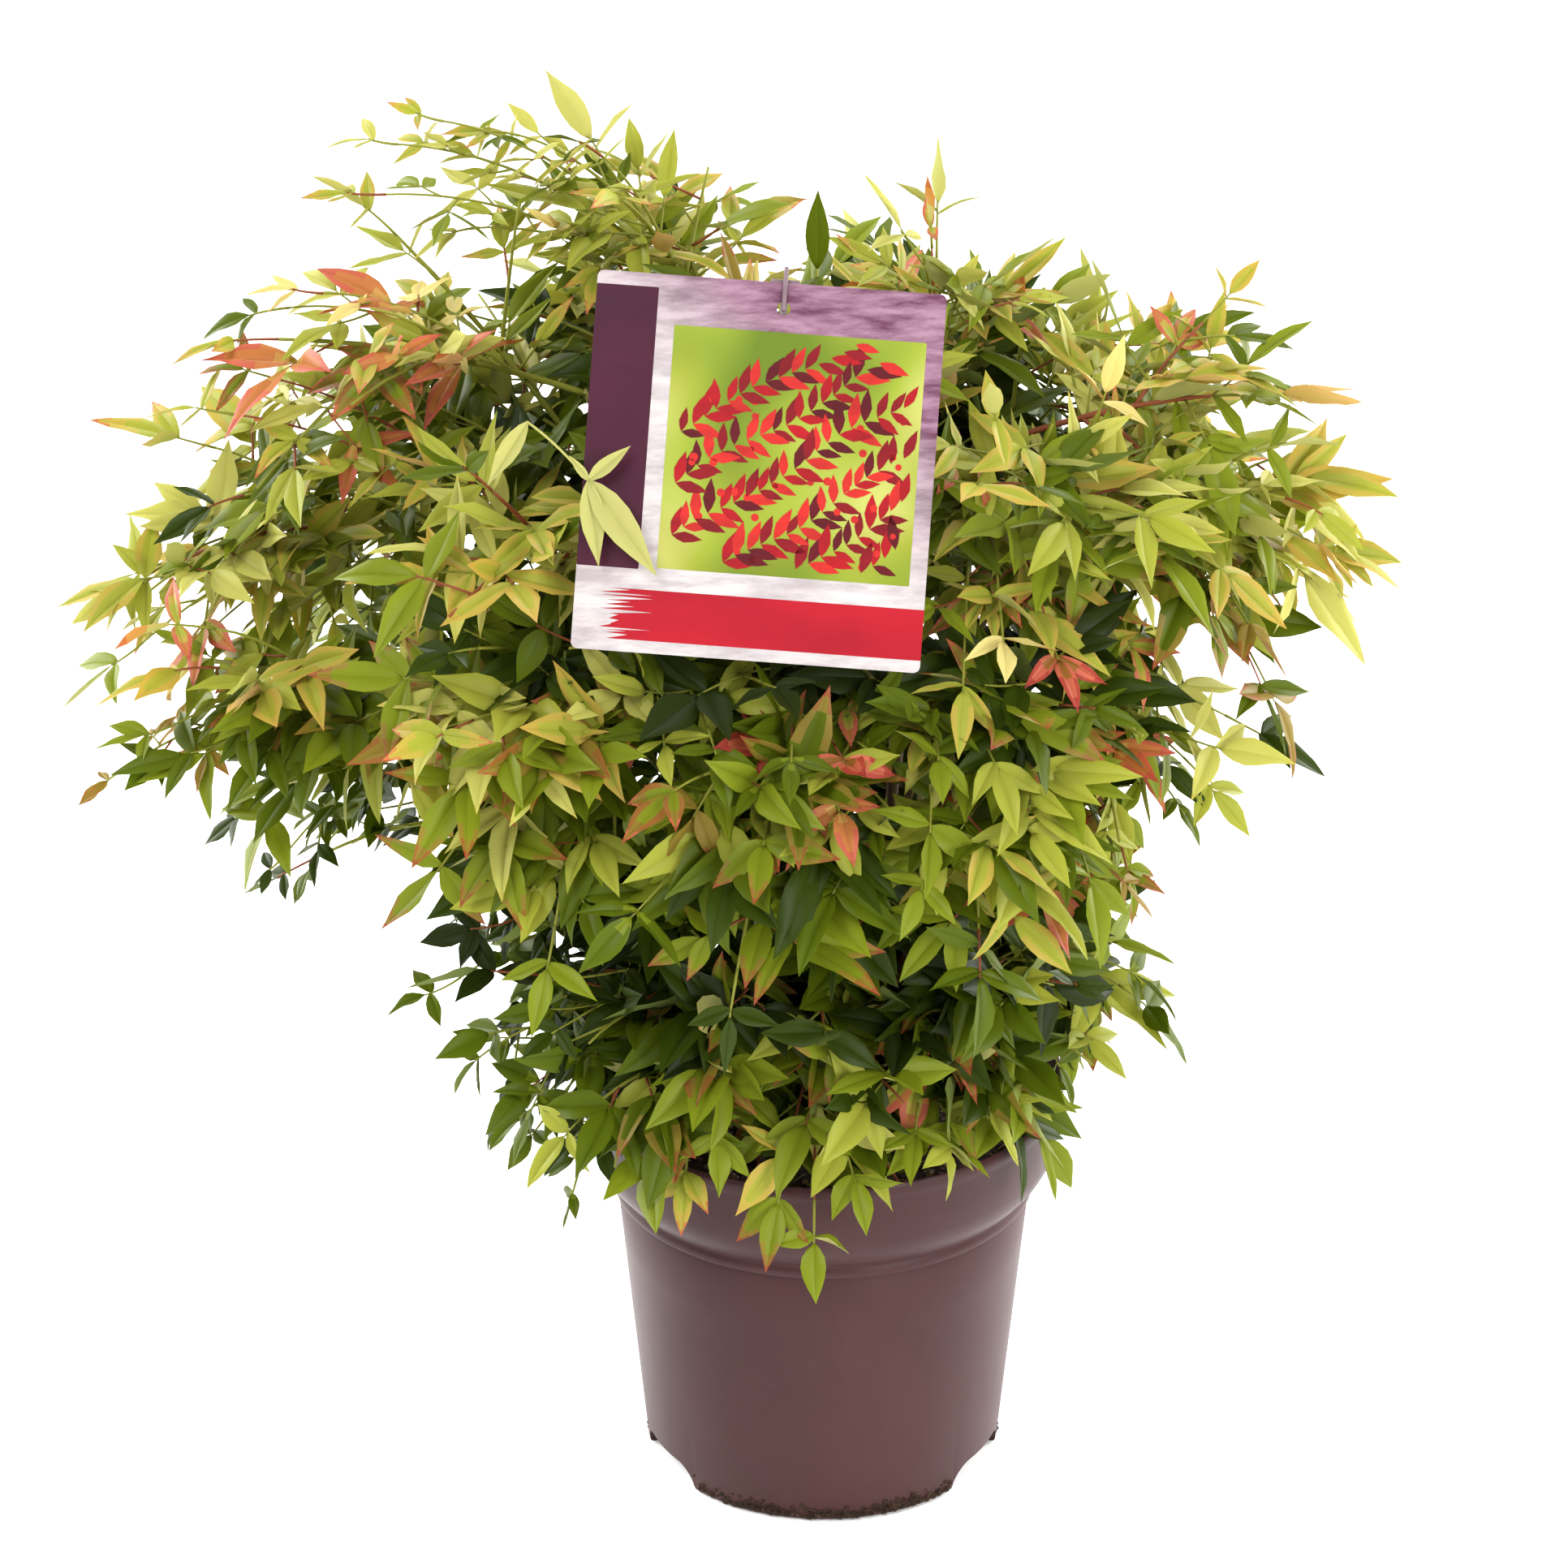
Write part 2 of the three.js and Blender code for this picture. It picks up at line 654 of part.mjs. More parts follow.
const caneCurves = CANES.map(caneCurve);
const canes = caneCurves.map((curve) => makeCane(curve));
const grownCanes = caneCurves.map((curve) => makeCane(curve, CLEAR / Math.cos(Math.PI / CANE_SIDES)));
const label = makeLabel();
const holder = makeHolder();
const pot = makePot();
const soil = makeSoil();
// All that a limb, twig or leaf keeps clear of. The boughs and stems join it as they are placed.
const obstacles = [
  ...Object.entries({ pot, soil, label, holder }).map(([name, solid]) => boxed(solid, { name })),
  ...canes.map((solid, i) => boxed(solid, { name: `cane_${i + 1}` })),
];

// A limb that leaves a cane at the first height, from the one given upwards, where it finds room.
// curveFrom(start) gives its whole curve, and solidOn(curve) its solid before it is cut to the cane.
function leaveCane(cane, height, curveFrom, solidOn) {
  const others = obstacles.filter(({ name }) => name !== `cane_${cane + 1}`);
  for (let k = 0; k < TRIES; k++) {
    const curve = curveFrom(pointAtHeight(caneCurves[cane], height + k * ROOM_STEP));
    const solid = largestBody(solidOn(curve).subtract(grownCanes[cane]));
    if (clearOf(boxed(solid), others, CLEAR)) return { curve, solid };
  }
  throw new Error(`no room on cane ${cane + 1} at height ${height}`);
}

const stemEnds = { foot: TWIG_RADIUS.stem, top: TWIG_RADIUS.tip };
const stemSolid = (curve) => limb(curve, TWIG_STEPS.stem, 3, taper(stemEnds));
const boughSolid = (curve) => limb(curve, BOUGH_STEPS, BOUGH_SIDES, taper(BOUGH_RADIUS));

// A stem that meets its carrier's cut end with a thin gap.
function stemOnEnd(carrier, arcTo, cutShort) {
  const end = carrier.getPoint(1);
  const along = carrier.getTangent(1);
  const whole = arcTo(end.clone().addScaledVector(along, -SEAT));
  const solid = stemSolid(cutShort(whole)).trimByPlane(along.toArray(), end.dot(along) + CLEAR);
  return { curve: whole, solid };
}

// Every spray's own stem, and its bough where it has one. whole runs on to the furthest leaf's tip.
function planSpray(tier, [azimuth, reach, height, cane], i) {
  const tip = polar(azimuth, reach, height);
  const name = `${tier.name}_${i + 1}`;
  const arcTo = (from) => archBetween(from, tip, tier.arch);
  const cutShort = (whole) => firstPart(whole, 1 - (END_LEAF * tier.leaf) / whole.getLength());
  let stem;
  let holder = `cane_${cane + 1}`;
  if (tier.root) {
    const boughEnd = polar(azimuth, tier.root * reach, height + tier.rise);
    const boughFrom = (start) => archBetween(start, boughEnd, BOUGH_ARCH);
    const bough = leaveCane(cane, tier.leaves, boughFrom, boughSolid);
    holder = `${name}_bough`;
    obstacles.push(boxed(bough.solid, { name: holder }));
    stem = stemOnEnd(bough.curve, arcTo, cutShort);
  } else if (tier.onTop) {
    stem = stemOnEnd(caneCurves[cane], arcTo, cutShort);
  } else {
    stem = leaveCane(cane, tier.leaves, arcTo, (whole) => stemSolid(cutShort(whole)));
  }
  return {
    ...tier,
    name,
    holder,
    stemBody: boxed(stem.solid, { name: `${name}_foliage` }),
    stem: cutShort(stem.curve),
    span: stem.curve.getLength(),
    chain: samplesOn(stem.curve, { count: STEM_SAMPLES }),
  };
}

const plans = [];
for (const tier of TIERS) {
  tier.sprays.forEach((spray, i) => {
    const plan = planSpray(tier, spray, i);
    plans.push({ ...plan, seed: plans.length });
    obstacles.push(plan.stemBody);
  });
}

addMesh("pot", pot, "pot");
addMesh("soil", soil, "soil");
for (const { name, solid } of obstacles) {
  if (name.startsWith("cane")) addMesh(name, solid, "cane");
  if (name.endsWith("bough")) addMesh(name, solid, "bough");
}
for (const plan of plans) {
  const others = obstacles.filter(({ name }) => name !== plan.stemBody.name);
  addMesh(plan.stemBody.name, makeSpray(plan, plans, others), "foliage");
}
addMesh("label", label, "label");
addMesh("label_holder", holder, "holder");

export default plant;
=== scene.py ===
# A heavenly bamboo in its nursery pot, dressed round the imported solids. Lengths are millimetres
# until a mesh is made. -Y is the front, +X the right-hand side, and azimuths run from +X to +Y.
import math
from types import SimpleNamespace

import bpy
import numpy as np
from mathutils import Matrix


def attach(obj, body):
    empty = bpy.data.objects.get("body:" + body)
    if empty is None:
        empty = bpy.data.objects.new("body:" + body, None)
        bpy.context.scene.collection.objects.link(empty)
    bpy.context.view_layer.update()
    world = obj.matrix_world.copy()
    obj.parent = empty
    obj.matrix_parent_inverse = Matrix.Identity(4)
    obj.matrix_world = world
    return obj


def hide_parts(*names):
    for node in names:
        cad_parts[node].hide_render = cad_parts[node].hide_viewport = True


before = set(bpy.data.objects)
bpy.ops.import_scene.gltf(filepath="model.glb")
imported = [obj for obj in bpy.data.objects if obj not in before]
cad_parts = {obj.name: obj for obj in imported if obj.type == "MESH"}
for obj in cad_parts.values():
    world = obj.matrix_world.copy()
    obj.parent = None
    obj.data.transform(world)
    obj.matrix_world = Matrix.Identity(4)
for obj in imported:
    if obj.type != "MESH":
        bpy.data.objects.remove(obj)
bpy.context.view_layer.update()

MM = 0.001
UP = np.array((0.0, 0.0, 1.0))


def table(text):
    """Rows of numbers and names, from text with a comma between the rows."""

    def read(word):
        return word if word[0].isalpha() else float(word) if "." in word else int(word)

    return [[read(word) for word in row.split()] for row in text.split(",")]


# ---- the plant's layout, as in the solids ----------------------------------------------------
CLEAR = 0.32
SEAT = 2.0
SOIL_TOP = 192.0
# A cane is azimuth and radius at the soil, then azimuth, radius and height at the top.
CANES = table("""
    150 34 166 84 478, 100 26 118 50 528, 20 22 22 56 512, 52 42 58 92 474, 255 16 262 30 492,
    318 40 322 92 436, 214 42 212 92 436
""")
CANE_UPRIGHT = 0.45
CANE_RADII = (3.6, 2.4)
BOUGH_RADII = (2.1, 1.4)
BOUGH_ARCH = 0.14
# A tier's limbs leave the canes at one height, or grow on the canes' tops where that is 0. A bough
# takes the root's share of the reach. A spray is azimuth, reach and height of its furthest leaf
# tip, cane, and mix of tints.
TIERS = {
    "crown": {
        "arch": 0.1, "droop": -0.1, "leaf": 78, "leaves": 0, "root": 0,
        "sprays": """175 238 676 0 pale, 160 134 696 1 pale, 46 76 668 2 fresh, 60 156 596 3 leafy,
            264 44 664 4 tipped, 336 152 612 5 pale, 222 236 606 6 bronzed""",
    },
    "shoulder": {
        "arch": 0.12, "droop": 0.1, "leaf": 83, "leaves": 400, "root": 0.36, "rise": -30,
        "sprays": """350 242 582 2 fresh, 30 238 560 3 fresh, 80 236 546 1 leafy,
            128 254 566 1 leafy, 186 316 604 0 bronzed, 318 228 560 5 fresh""",
    },
    "waist": {
        "arch": 0.12, "droop": 0.3, "leaf": 87, "leaves": 318, "root": 0.4, "rise": 34,
        "sprays": """354 272 486 2 fresh, 332 246 410 5 tipped, 28 262 440 3 fresh,
            70 268 444 3 leafy, 115 284 440 1 leafy, 154 316 436 0 leafy, 181 372 466 0 pale,
            197 350 408 0 fresh, 226 276 430 6 tipped, 262 250 414 4 skirted,
            296 244 410 5 tipped""",
    },
    "skirt": {
        "arch": 0.5, "droop": 0.4, "leaf": 71, "leaves": 256, "root": 0,
        "sprays": """354 180 262 5 skirted, 60 194 250 3 leafy, 120 200 250 1 shaded,
            178 290 292 0 shaded, 198 176 168 6 shaded, 238 160 196 6 skirted,
            268 152 156 4 skirted, 308 154 214 5 skirted""",
    },
}
RAISED = {"waist_7": 12}  # limbs that leave their cane this much above their tier's height
CROWN_CENTRE = np.array((-45.0, 0.0, 385.0))
CROWN_RADII = np.array((342.0, 272.0, 345.0))
CROWN_TAPER = 0.64

# Where the background shows through the edge of the crown from the front: circles right and up of
# the crown's middle, with their radius.
OPENINGS = table("""
    172 65 22, 187 36 18, 176 8 22, 168 -24 18, 186 -60 26, 162 -106 22, 152 -140 18, 155 -176 26,
    238 146 18, 264 132 17, 88 250 18, 162 240 22, -36 304 26, -98 320 14, -182 244 24, -342 112 26,
    -318 140 14, -298 8 18, -328 -32 14, -248 -120 36, -226 -64 26, -176 -164 24, -120 -230 18,
    -118 -272 20, -62 326 15
""")
EYE = np.array((-19.86, -2305.52, 1440.43))
EYE_PITCH = math.radians(25)
AHEAD = np.array((0, math.cos(EYE_PITCH), -math.sin(EYE_PITCH)))
ABOVE = np.array((0, math.sin(EYE_PITCH), math.cos(EYE_PITCH)))
MIDDLE = np.array((0.0, 0.0, 385.0)) - EYE

# ---- the rule by which a spray grows: the solids' rule, carried on to finer twigs -------------
SEED = 41
SHOOTS = 6
SHOOT_ZONE = (0.1, 0.78)
SHOOT_SPREAD = 50
SHOOT_LENGTH = (0.62, 0.34)
FIRST_SHOOT = 0.31
SHOOT_BEND = 0.55
SHOOT_SAG = (0.1, 0.5)
GOLDEN_TURN = math.radians(137.508)
GOLDEN_STEP = 0.618034
SIZE_SPREAD = 0.3
PAIRS = (0.3, 0.52, 0.76)  # where pinnae stand in pairs along a shoot
STEM_PAIRS = (0.45, 0.62, 0.75, 0.87)
STAGGER = 0.05
MARGIN_DEPTH, MARGIN_GAPS = 0.74, 0.4  # past this depth so many pinnae are missing
PINNA_SPREAD = 62
END_LEAF = 0.75
FINE_DROOP = 0.5  # of the droop of the solids' longer leaves
TRIES = 6
TURN_STEP = 0.4
SHORTER = 0.07

# Thin side twigs that fill the crown with darker leaves, older and in painted shade: the lowest
# and highest foot, the shortest and longest reach, and the least and greatest rise of each kind.
INNER_SPRAYS = 60
INNER_RINGS = table("""
    215 300 60 110 0 60, 300 400 80 150 0 70, 400 480 70 150 0 80, 440 520 50 130 20 100
""")
INNER_PAIRS = (0.3, 0.48, 0.66, 0.84)
INNER_LEAF = 78


def unit(v):
    return v / np.linalg.norm(v)


def polar(azimuth, radius, height):
    a = math.radians(azimuth)
    return np.array((radius * math.cos(a), radius * math.sin(a), height), float)


def turned(v, axis, angle):
    """v turned round a unit axis."""
    c, s = math.cos(angle), math.sin(angle)
    return v * c + np.cross(axis, v) * s + axis * (axis @ v) * (1 - c)


def seeded(seed):
    """The solids' own random numbers from 0 to 1."""
    mask = 0xFFFFFFFF
    state = seed & mask

    def draw():
        nonlocal state
        state = (state + 0x6D2B79F5) & mask
        t = ((state ^ (state >> 15)) * (1 | state)) & mask
        t = ((t + (((t ^ (t >> 7)) * (61 | t)) & mask)) ^ t) & mask
        return ((t ^ (t >> 14)) & mask) / 4294967296

    return draw


def between(draw, low, high):
    return low + (high - low) * draw()


def read_off(places, known, points):
    """The points at some places, read off a line of points at known places."""
    return np.stack([np.interp(places, known, column) for column in points.T], axis=-1)


class Path:
    """A quadratic curve, known by points at equal distances along it."""

    def __init__(self, start, middle, end, count=24):
        self.ends = start, middle, end
        raw = self.curve(np.linspace(0, 1, 129)[:, None])
        far = np.concatenate(([0], np.cumsum(np.linalg.norm(np.diff(raw, axis=0), axis=1))))
        self.points = read_off(np.linspace(0, far[-1], count + 1), far, raw)
        self.length = far[-1]

    def curve(self, t):
        start, middle, end = self.ends
        return (1 - t) ** 2 * start + 2 * t * (1 - t) * middle + t**2 * end

    def at(self, share):
        """The point and heading at a share of the length."""
        place = min(max(share, 0.0), 1.0) * (len(self.points) - 1)
        i = min(int(place), len(self.points) - 2)
        step = self.points[i + 1] - self.points[i]
        return self.points[i] + step * (place - i), unit(step)

    def first(self, share):
        """The stretch from the start to a share of the curve's own parameter."""
        start, middle, _ = self.ends
        return Path(start, start + (middle - start) * share, self.curve(share))

    def sampled(self, count):
        last = len(self.points) - 1
        return read_off(np.linspace(0, last, count + 1), np.arange(last + 1), self.points)


def arch_between(start, end, arch):
    return Path(start, (start + end) / 2 + UP * arch * np.linalg.norm(end - start), end)


def cane_path(foot_azimuth, foot_radius, *top):
    start, end = polar(foot_azimuth, foot_radius, SOIL_TOP + CLEAR), polar(*top)
    upright = np.array((start[0], start[1], (start[2] + end[2]) / 2))
    middle = (start + end) / 2
    return Path(start, middle + (upright - middle) * CANE_UPRIGHT, end, 60)


CANE_PATHS = [cane_path(*cane) for cane in CANES]


def cane_at_height(cane, height):
    points = CANE_PATHS[cane].points
    return read_off(height, points[:, 2], points)


def plan_spray(tier_name, number, seed, azimuth, reach, height, cane, mix):
    """A spray's own stem, and its bough where it has one, as in the solids."""
    tier, name = TIERS[tier_name], f"{tier_name}_{number}"
    start = cane_at_height(cane, tier["leaves"] + RAISED.get(name, 0))
    bough = None
    carrier = None if tier["leaves"] else CANE_PATHS[cane]
    if tier["root"]:
        end = polar(azimuth, tier["root"] * reach, height + tier["rise"])
        bough = carrier = arch_between(start, end, BOUGH_ARCH)
    if carrier:
        end, along = carrier.at(1)
        start = end - along * SEAT
    whole = arch_between(start, polar(azimuth, reach, height), tier["arch"])
    stem = whole.first(1 - END_LEAF * tier["leaf"] / whole.length)
    return SimpleNamespace(
        name=name, tier=tier_name, seed=seed, mix=mix, bough=bough, stem=stem, whole=whole,
        span=whole.length, leaf=tier["leaf"], droop=tier["droop"],
    )


PLANS = []
for tier_name, tier in TIERS.items():
    for number, spray in enumerate(table(tier["sprays"]), 1):
        PLANS.append(plan_spray(tier_name, number, len(PLANS), *spray))
STEMS = {plan.name: plan.stem for plan in PLANS}
CHAINS = np.array([plan.whole.sampled(5) for plan in PLANS])


def in_crown(point, ease=1.0):
    x, y, z = (point - CROWN_CENTRE) / (CROWN_RADII * ease)
    return math.hypot(x, y, z) < 1 if z > 0 else math.hypot(x, y) < 1 + CROWN_TAPER * z


def in_opening(point):
    """Whether the eye in front sees the point in one of the openings."""
    off = point - EYE
    scale = (MIDDLE @ AHEAD) / (off @ AHEAD)
    right, up = off[0] * scale - MIDDLE[0], (off @ ABOVE) * scale - MIDDLE @ ABOVE
    return any((right - x) ** 2 + (up - y) ** 2 < r * r for x, y, r in OPENINGS)


def in_own_space(point, index, ease=8.0):
    """Whether the point is nearer its own spray's stem than the others', or nearly so."""
    start, step = CHAINS[:, :-1], np.diff(CHAINS, axis=1)
    off = point - start
    share = np.clip((off * step).sum(-1) / (step * step).sum(-1), 0, 1)[..., None]
    distances = np.linalg.norm(off - share * step, axis=-1).min(axis=1)
    return distances[index] <= distances.min() + ease


# ---- the label's own frame, and the pot's outline --------------------------------------------
LABEL_WIDTH, LABEL_HEIGHT, LABEL_THICKNESS = 155.0, 168.0, 0.9
LABEL_CENTRE = np.array((-31.0, -150.0, 588.0))
LABEL_LEAN, LABEL_ROLL = math.radians(25), math.radians(-4.2)
LABEL_HOLE = (5.7, 72.6, 3.0)
tilt, roll = math.pi / 2 - LABEL_LEAN, LABEL_ROLL
LABEL_TURN = np.array(
    ((1, 0, 0), (0, math.cos(tilt), -math.sin(tilt)), (0, math.sin(tilt), math.cos(tilt)))
) @ np.array(((math.cos(roll), -math.sin(roll), 0), (math.sin(roll), math.cos(roll), 0), (0, 0, 1)))


def on_label(right, up, front):
    return LABEL_CENTRE + LABEL_TURN @ np.array((right, up, front), float)


def meets_label(points, margin=4.0):
    """True if any of the points is in front of the label, or too near behind it."""
    right, up, front = LABEL_TURN.T @ (np.atleast_2d(points) - LABEL_CENTRE).T
    inside = (abs(right) < LABEL_WIDTH / 2 + margin) & (abs(up) < LABEL_HEIGHT / 2 + margin)
    return bool((inside & (front > -5)).any())


# The pot's outside in short, as heights and radii, and its mouth.
POT_WALL = np.array(((0, 90), (147, 104), (156, 107), (175, 118), (200, 120.5)))
RIM_TOP, MOUTH = 207.0, 116.0


def in_pot(points, margin=2.0):
    """Which of the points are in the pot's wall or its soil, or very near them."""
    radius, height = np.hypot(points[..., 0], points[..., 1]), points[..., 2]
    low = (height < RIM_TOP + margin) & (radius < np.interp(height, *POT_WALL.T) + margin)
    return low & ((radius > MOUTH - margin) | (height < SOIL_TOP + 0.5))


# ---- materials -------------------------------------------------------------------------------
def linear(rgb):
    """Linear colour from sRGB values of 0 to 255."""
    c = np.array(rgb) / 255
    return tuple(np.where(c <= 0.04045, c / 12.92, ((c + 0.055) / 1.055) ** 2.4)) + (1.0,)


class Look:
    """A material, with short calls for its nodes."""

    def __init__(self, name, rgb, roughness, specular=None):
        self.material = bpy.data.materials.new(name)
        self.material.use_nodes = True
        self.nodes = self.material.node_tree.nodes
        self.shader = self.nodes["Principled BSDF"]
        self.fill(self.shader, {"Base Color": linear(rgb), "Roughness": roughness})
        if specular is not None:
            self.fill(self.shader, {"Specular IOR Level": specular})

    def fill(self, node, sockets):
        """Sets a node's sockets to values, or links them to other nodes' outputs."""
        for key, value in sockets.items():
            if isinstance(value, bpy.types.NodeSocket):
                self.material.node_tree.links.new(value, node.inputs[key])
            else:
                node.inputs[key].default_value = value

    def node(self, kind, sockets, out=0, **settings):
        made = self.nodes.new("ShaderNode" + kind)
        for key, value in settings.items():
            setattr(made, key, value)
        self.fill(made, sockets)
        return made.outputs[out]

    def place(self):
        return self.node("TexCoord", {}, "Object")

    def stretched(self, scale, rotation=(0, 0, 0)):
        return self.node("Mapping", {"Vector": self.place(), "Scale": scale, "Rotation": rotation})

    def noise(self, scale, detail=4.0, vector=None, roughness=0.55):
        sockets = {"Scale": scale, "Detail": detail, "Roughness": roughness}
        return self.node("TexNoise", {"Vector": vector or self.place(), **sockets})

    def spread(self, value, **ends):
        """A value spread from one range to another, such as From_Min=0.5."""
        ends = {key.replace("_", " "): end for key, end in ends.items()}
        return self.node("MapRange", {"Value": value, **ends})

    def ramp(self, factor, *stops):
        ramp = self.nodes.new("ShaderNodeValToRGB")
        elements = ramp.color_ramp.elements
        while len(elements) < len(stops):
            elements.new(0.5)
        for element, (position, colour) in zip(elements, stops):
            element.position, element.color = position, linear(colour)
        self.fill(ramp, {"Fac": factor})
        return ramp.outputs["Color"]

    def mix(self, factor, a, b):
        return self.node("Mix", {0: factor, 6: a, 7: b}, 2, data_type="RGBA")

    def patched(self, base, factor, low, high, grey, rgb):
        """The base with patches of another colour where the factor is high."""
        return self.mix(self.ramp(factor, (low, (0, 0, 0)), (high, (grey,) * 3)), base, linear(rgb))

    def finish(self, colour, roughness=None, bump=None):
        """Links a colour, a roughness (factor, low, high) and a bump (height, strength, depth)."""
        sockets = {"Base Color": colour}
        if roughness:
            factor, low, high = roughness
            sockets["Roughness"] = self.spread(factor, To_Min=low, To_Max=high)
        if bump:
            height, strength, distance = bump
            relief = {"Height": height, "Strength": strength, "Distance": distance}
            sockets["Normal"] = self.node("Bump", relief)
        self.fill(self.shader, sockets)
        return self.material


def pot_material():
    look = Look("pot_plastic", (58, 32, 33), 0.42, 0.18)
    streaks = look.noise(28, 5, look.stretched((1, 1, 0.16)))
    base = look.ramp(look.noise(7, 3), (0.3, (54, 29, 30)), (0.7, (62, 35, 35)))
    worn = look.patched(base, streaks, 0.52, 0.8, 90, (92, 58, 56))
    dusty = look.patched(worn, look.noise(95, 6), 0.62, 0.8, 70, (112, 82, 76))
    return look.finish(dusty, (streaks, 0.34, 0.5), (look.noise(900, 2), 0.1, 0.0004))


def soil_material():
    look = Look("peat", (44, 31, 24), 0.95, 0.2)
    grain = look.noise(240, 8, roughness=0.7)
    colour = look.ramp(grain, (0.3, (22, 15, 11)), (0.55, (48, 34, 25)), (0.78, (86, 64, 46)))
    return look.finish(colour, bump=(look.noise(520, 6), 0.6, 0.0012))


def bark_material(name, dark, light, streak):
    look = Look(name, light, 0.62)
    fibre = look.noise(260, 6, look.stretched((1, 1, 0.08)))
    base = look.ramp(fibre, (0.32, dark), (0.66, light))
    patched = look.patched(base, look.noise(34, 4), 0.46, 0.66, 190, streak)
    return look.finish(patched, (fibre, 0.5, 0.78), (fibre, 0.35, 0.0005))


# A leaf's and a stalk's colours: name, sRGB colour, and roughness.
PALETTE = table("""
    moss 38 48 9 0.44, deep 53 68 9 0.41, green 88 102 14 0.4, mid 121 133 30 0.4,
    lime 158 162 60 0.4, pale 184 182 94 0.42, straw 210 200 128 0.46, warm 176 158 70 0.42,
    amber 190 150 80 0.42, orange 182 118 66 0.42, rose 184 98 74 0.42, red 160 66 54 0.4,
    wine 112 44 42 0.4, olive 136 118 46 0.42, rust 142 96 44 0.42, under_green 122 134 68 0.6,
    under_pale 184 182 112 0.6, under_tan 208 176 120 0.6, stalk 140 142 56 0.5,
    stalk_red 144 84 54 0.5, stalk_tan 164 126 74 0.55
""")
GLOW = 0.4  # share of the light that goes on through a leaf


def leaf_material(name, red, green, blue, roughness):
    """One plain colour, a little glossy on top, which lets some light through."""
    rgb = np.array((red, green, blue))
    look = Look("leaf_" + name, rgb, roughness, 0.15)
    glow = look.node("BsdfTranslucent", {"Color": linear(np.minimum(rgb * 1.12 + 6, 255))})
    both = look.node("MixShader", {0: GLOW, 1: look.shader.outputs["BSDF"], 2: glow})
    look.fill(look.nodes["Material Output"], {"Surface": both})
    return look.material


LEAF_MATERIALS = [leaf_material(*row) for row in PALETTE]
SLOT = {row[0]: i for i, row in enumerate(PALETTE)}


def counted(text):
    """The names in text such as 'lime*4 amber orange*2', each as often as it says."""
    words = [word.partition("*") for word in text.split()]
    return [name for name, _, times in words for _ in range(int(times or 1))]


# A tint is the colours of a leaf's seven stretches beside the midrib, along the margin and
# underneath. One name stands for all seven.
STRETCHES = 7
TINTS = {
    "moss": "moss / moss / under_green",
    "deep": "deep / deep / under_green",
    "green": "green / green / under_green",
    "green_light": "mid*2 green*5 / mid green*6 / under_green",
    "mid": "mid / mid / under_pale",
    "lime": "lime / lime / under_pale",
    "lime_edged": "lime / lime*2 warm*5 / under_pale",
    "pale": "pale / pale*6 warm / under_pale",
    "straw": "straw / straw / under_tan",
    "wan": "under_pale / under_pale / under_pale",
    "lime_tipped": "lime*4 warm*2 orange / lime*3 warm*2 orange rose / under_pale*6 amber",
    "mid_tipped": "mid*5 olive rust / mid*4 olive rust red / under_pale*6 orange",
    "green_edged": "green*5 olive rust / green*3 olive*2 rust red / under_green",
    "amber": "warm*3 amber*4 / warm amber*5 orange / under_tan",
    "bronze": "warm*2 amber*2 orange*3 / amber*2 orange*3 rose*2 / under_tan",
    "sallow": "lime*5 warm*2 / lime warm*5 amber / under_tan",
    "blushed": """lime*3 warm orange*2 rose / warm orange*2 rose*3 red
        / under_pale*3 amber*2 orange*2""",
    "mid_blushed": "mid*4 olive*2 rust / olive*2 rust*3 rose red / under_pale*4 orange*3",
    "flame": "warm amber orange*3 rose*2 / amber orange*2 rose*3 red / under_tan*5 orange*2",
    "wine": "rust*3 rose*2 red*2 / rust rose*2 red*3 wine / under_tan*5 rose*2",
    "olive": "olive / olive*4 rust*2 red / under_tan",
}


def slots_of(part):
    names = counted(part)
    return [SLOT[name] for name in (names if len(names) > 1 else names * STRETCHES)]


TINT_NAMES = list(TINTS)
TINT_TABLE = np.array([[slots_of(part) for part in text.split("/")] for text in TINTS.values()])

MIXES = {
    "fresh": "lime*6 mid*5 pale*3 lime_edged*3 lime_tipped*2 sallow*2 green*3 blushed",
    "pale": "pale*5 lime*5 straw lime_edged*3 lime_tipped*2 sallow*2 mid*4",
    "leafy": "green*5 green_light*3 mid*5 lime*4 deep*3 pale*2 lime_edged mid_tipped",
    "bronzed": """bronze*3 amber*2 lime_tipped*4 blushed*7 mid_blushed*4 lime_edged lime*4 pale*2
        flame*6 mid*2 wine*2 mid_tipped""",
    "tipped": """sallow*2 lime*4 mid*8 lime_tipped*2 lime_edged*2 pale*2 blushed mid_blushed
        mid_tipped*3 green*5 olive*2""",
    "front": """mid*5 green*8 green_light*4 lime*2 pale*3 lime_edged mid_tipped*2 lime_tipped
        green_edged*2 olive*2 mid_blushed deep*5""",
    "skirted": """mid*7 green_light*5 mid_tipped*4 green_edged*3 olive*2 lime*4 mid_blushed*2
        green*6 deep*4""",
    "straw": "straw*4 pale*2 amber",
    "flamed": "mid_blushed*2 blushed*2 mid_tipped flame*2 wine*2",
    "amberish": "amber*3 lime_tipped*3 pale*3 blushed*2",
    "brown": "olive*4 mid_blushed green_edged green",
    "shaded": "deep*5 moss*2 green*4 green_light",
    # the inner mix: tints of older leaves, made darker still as painted shade deep in the crown
    "inner": "deep*5 moss*2 green*5 green_light*2",
}
MIX_LISTS = {mix: [TINT_NAMES.index(name) for name in counted(text)] for mix, text in MIXES.items()}


# ---- meshes ----------------------------------------------------------------------------------
def new_object(name, data):
    made = bpy.data.objects.new(name, data)
    bpy.context.scene.collection.objects.link(made)
    return made


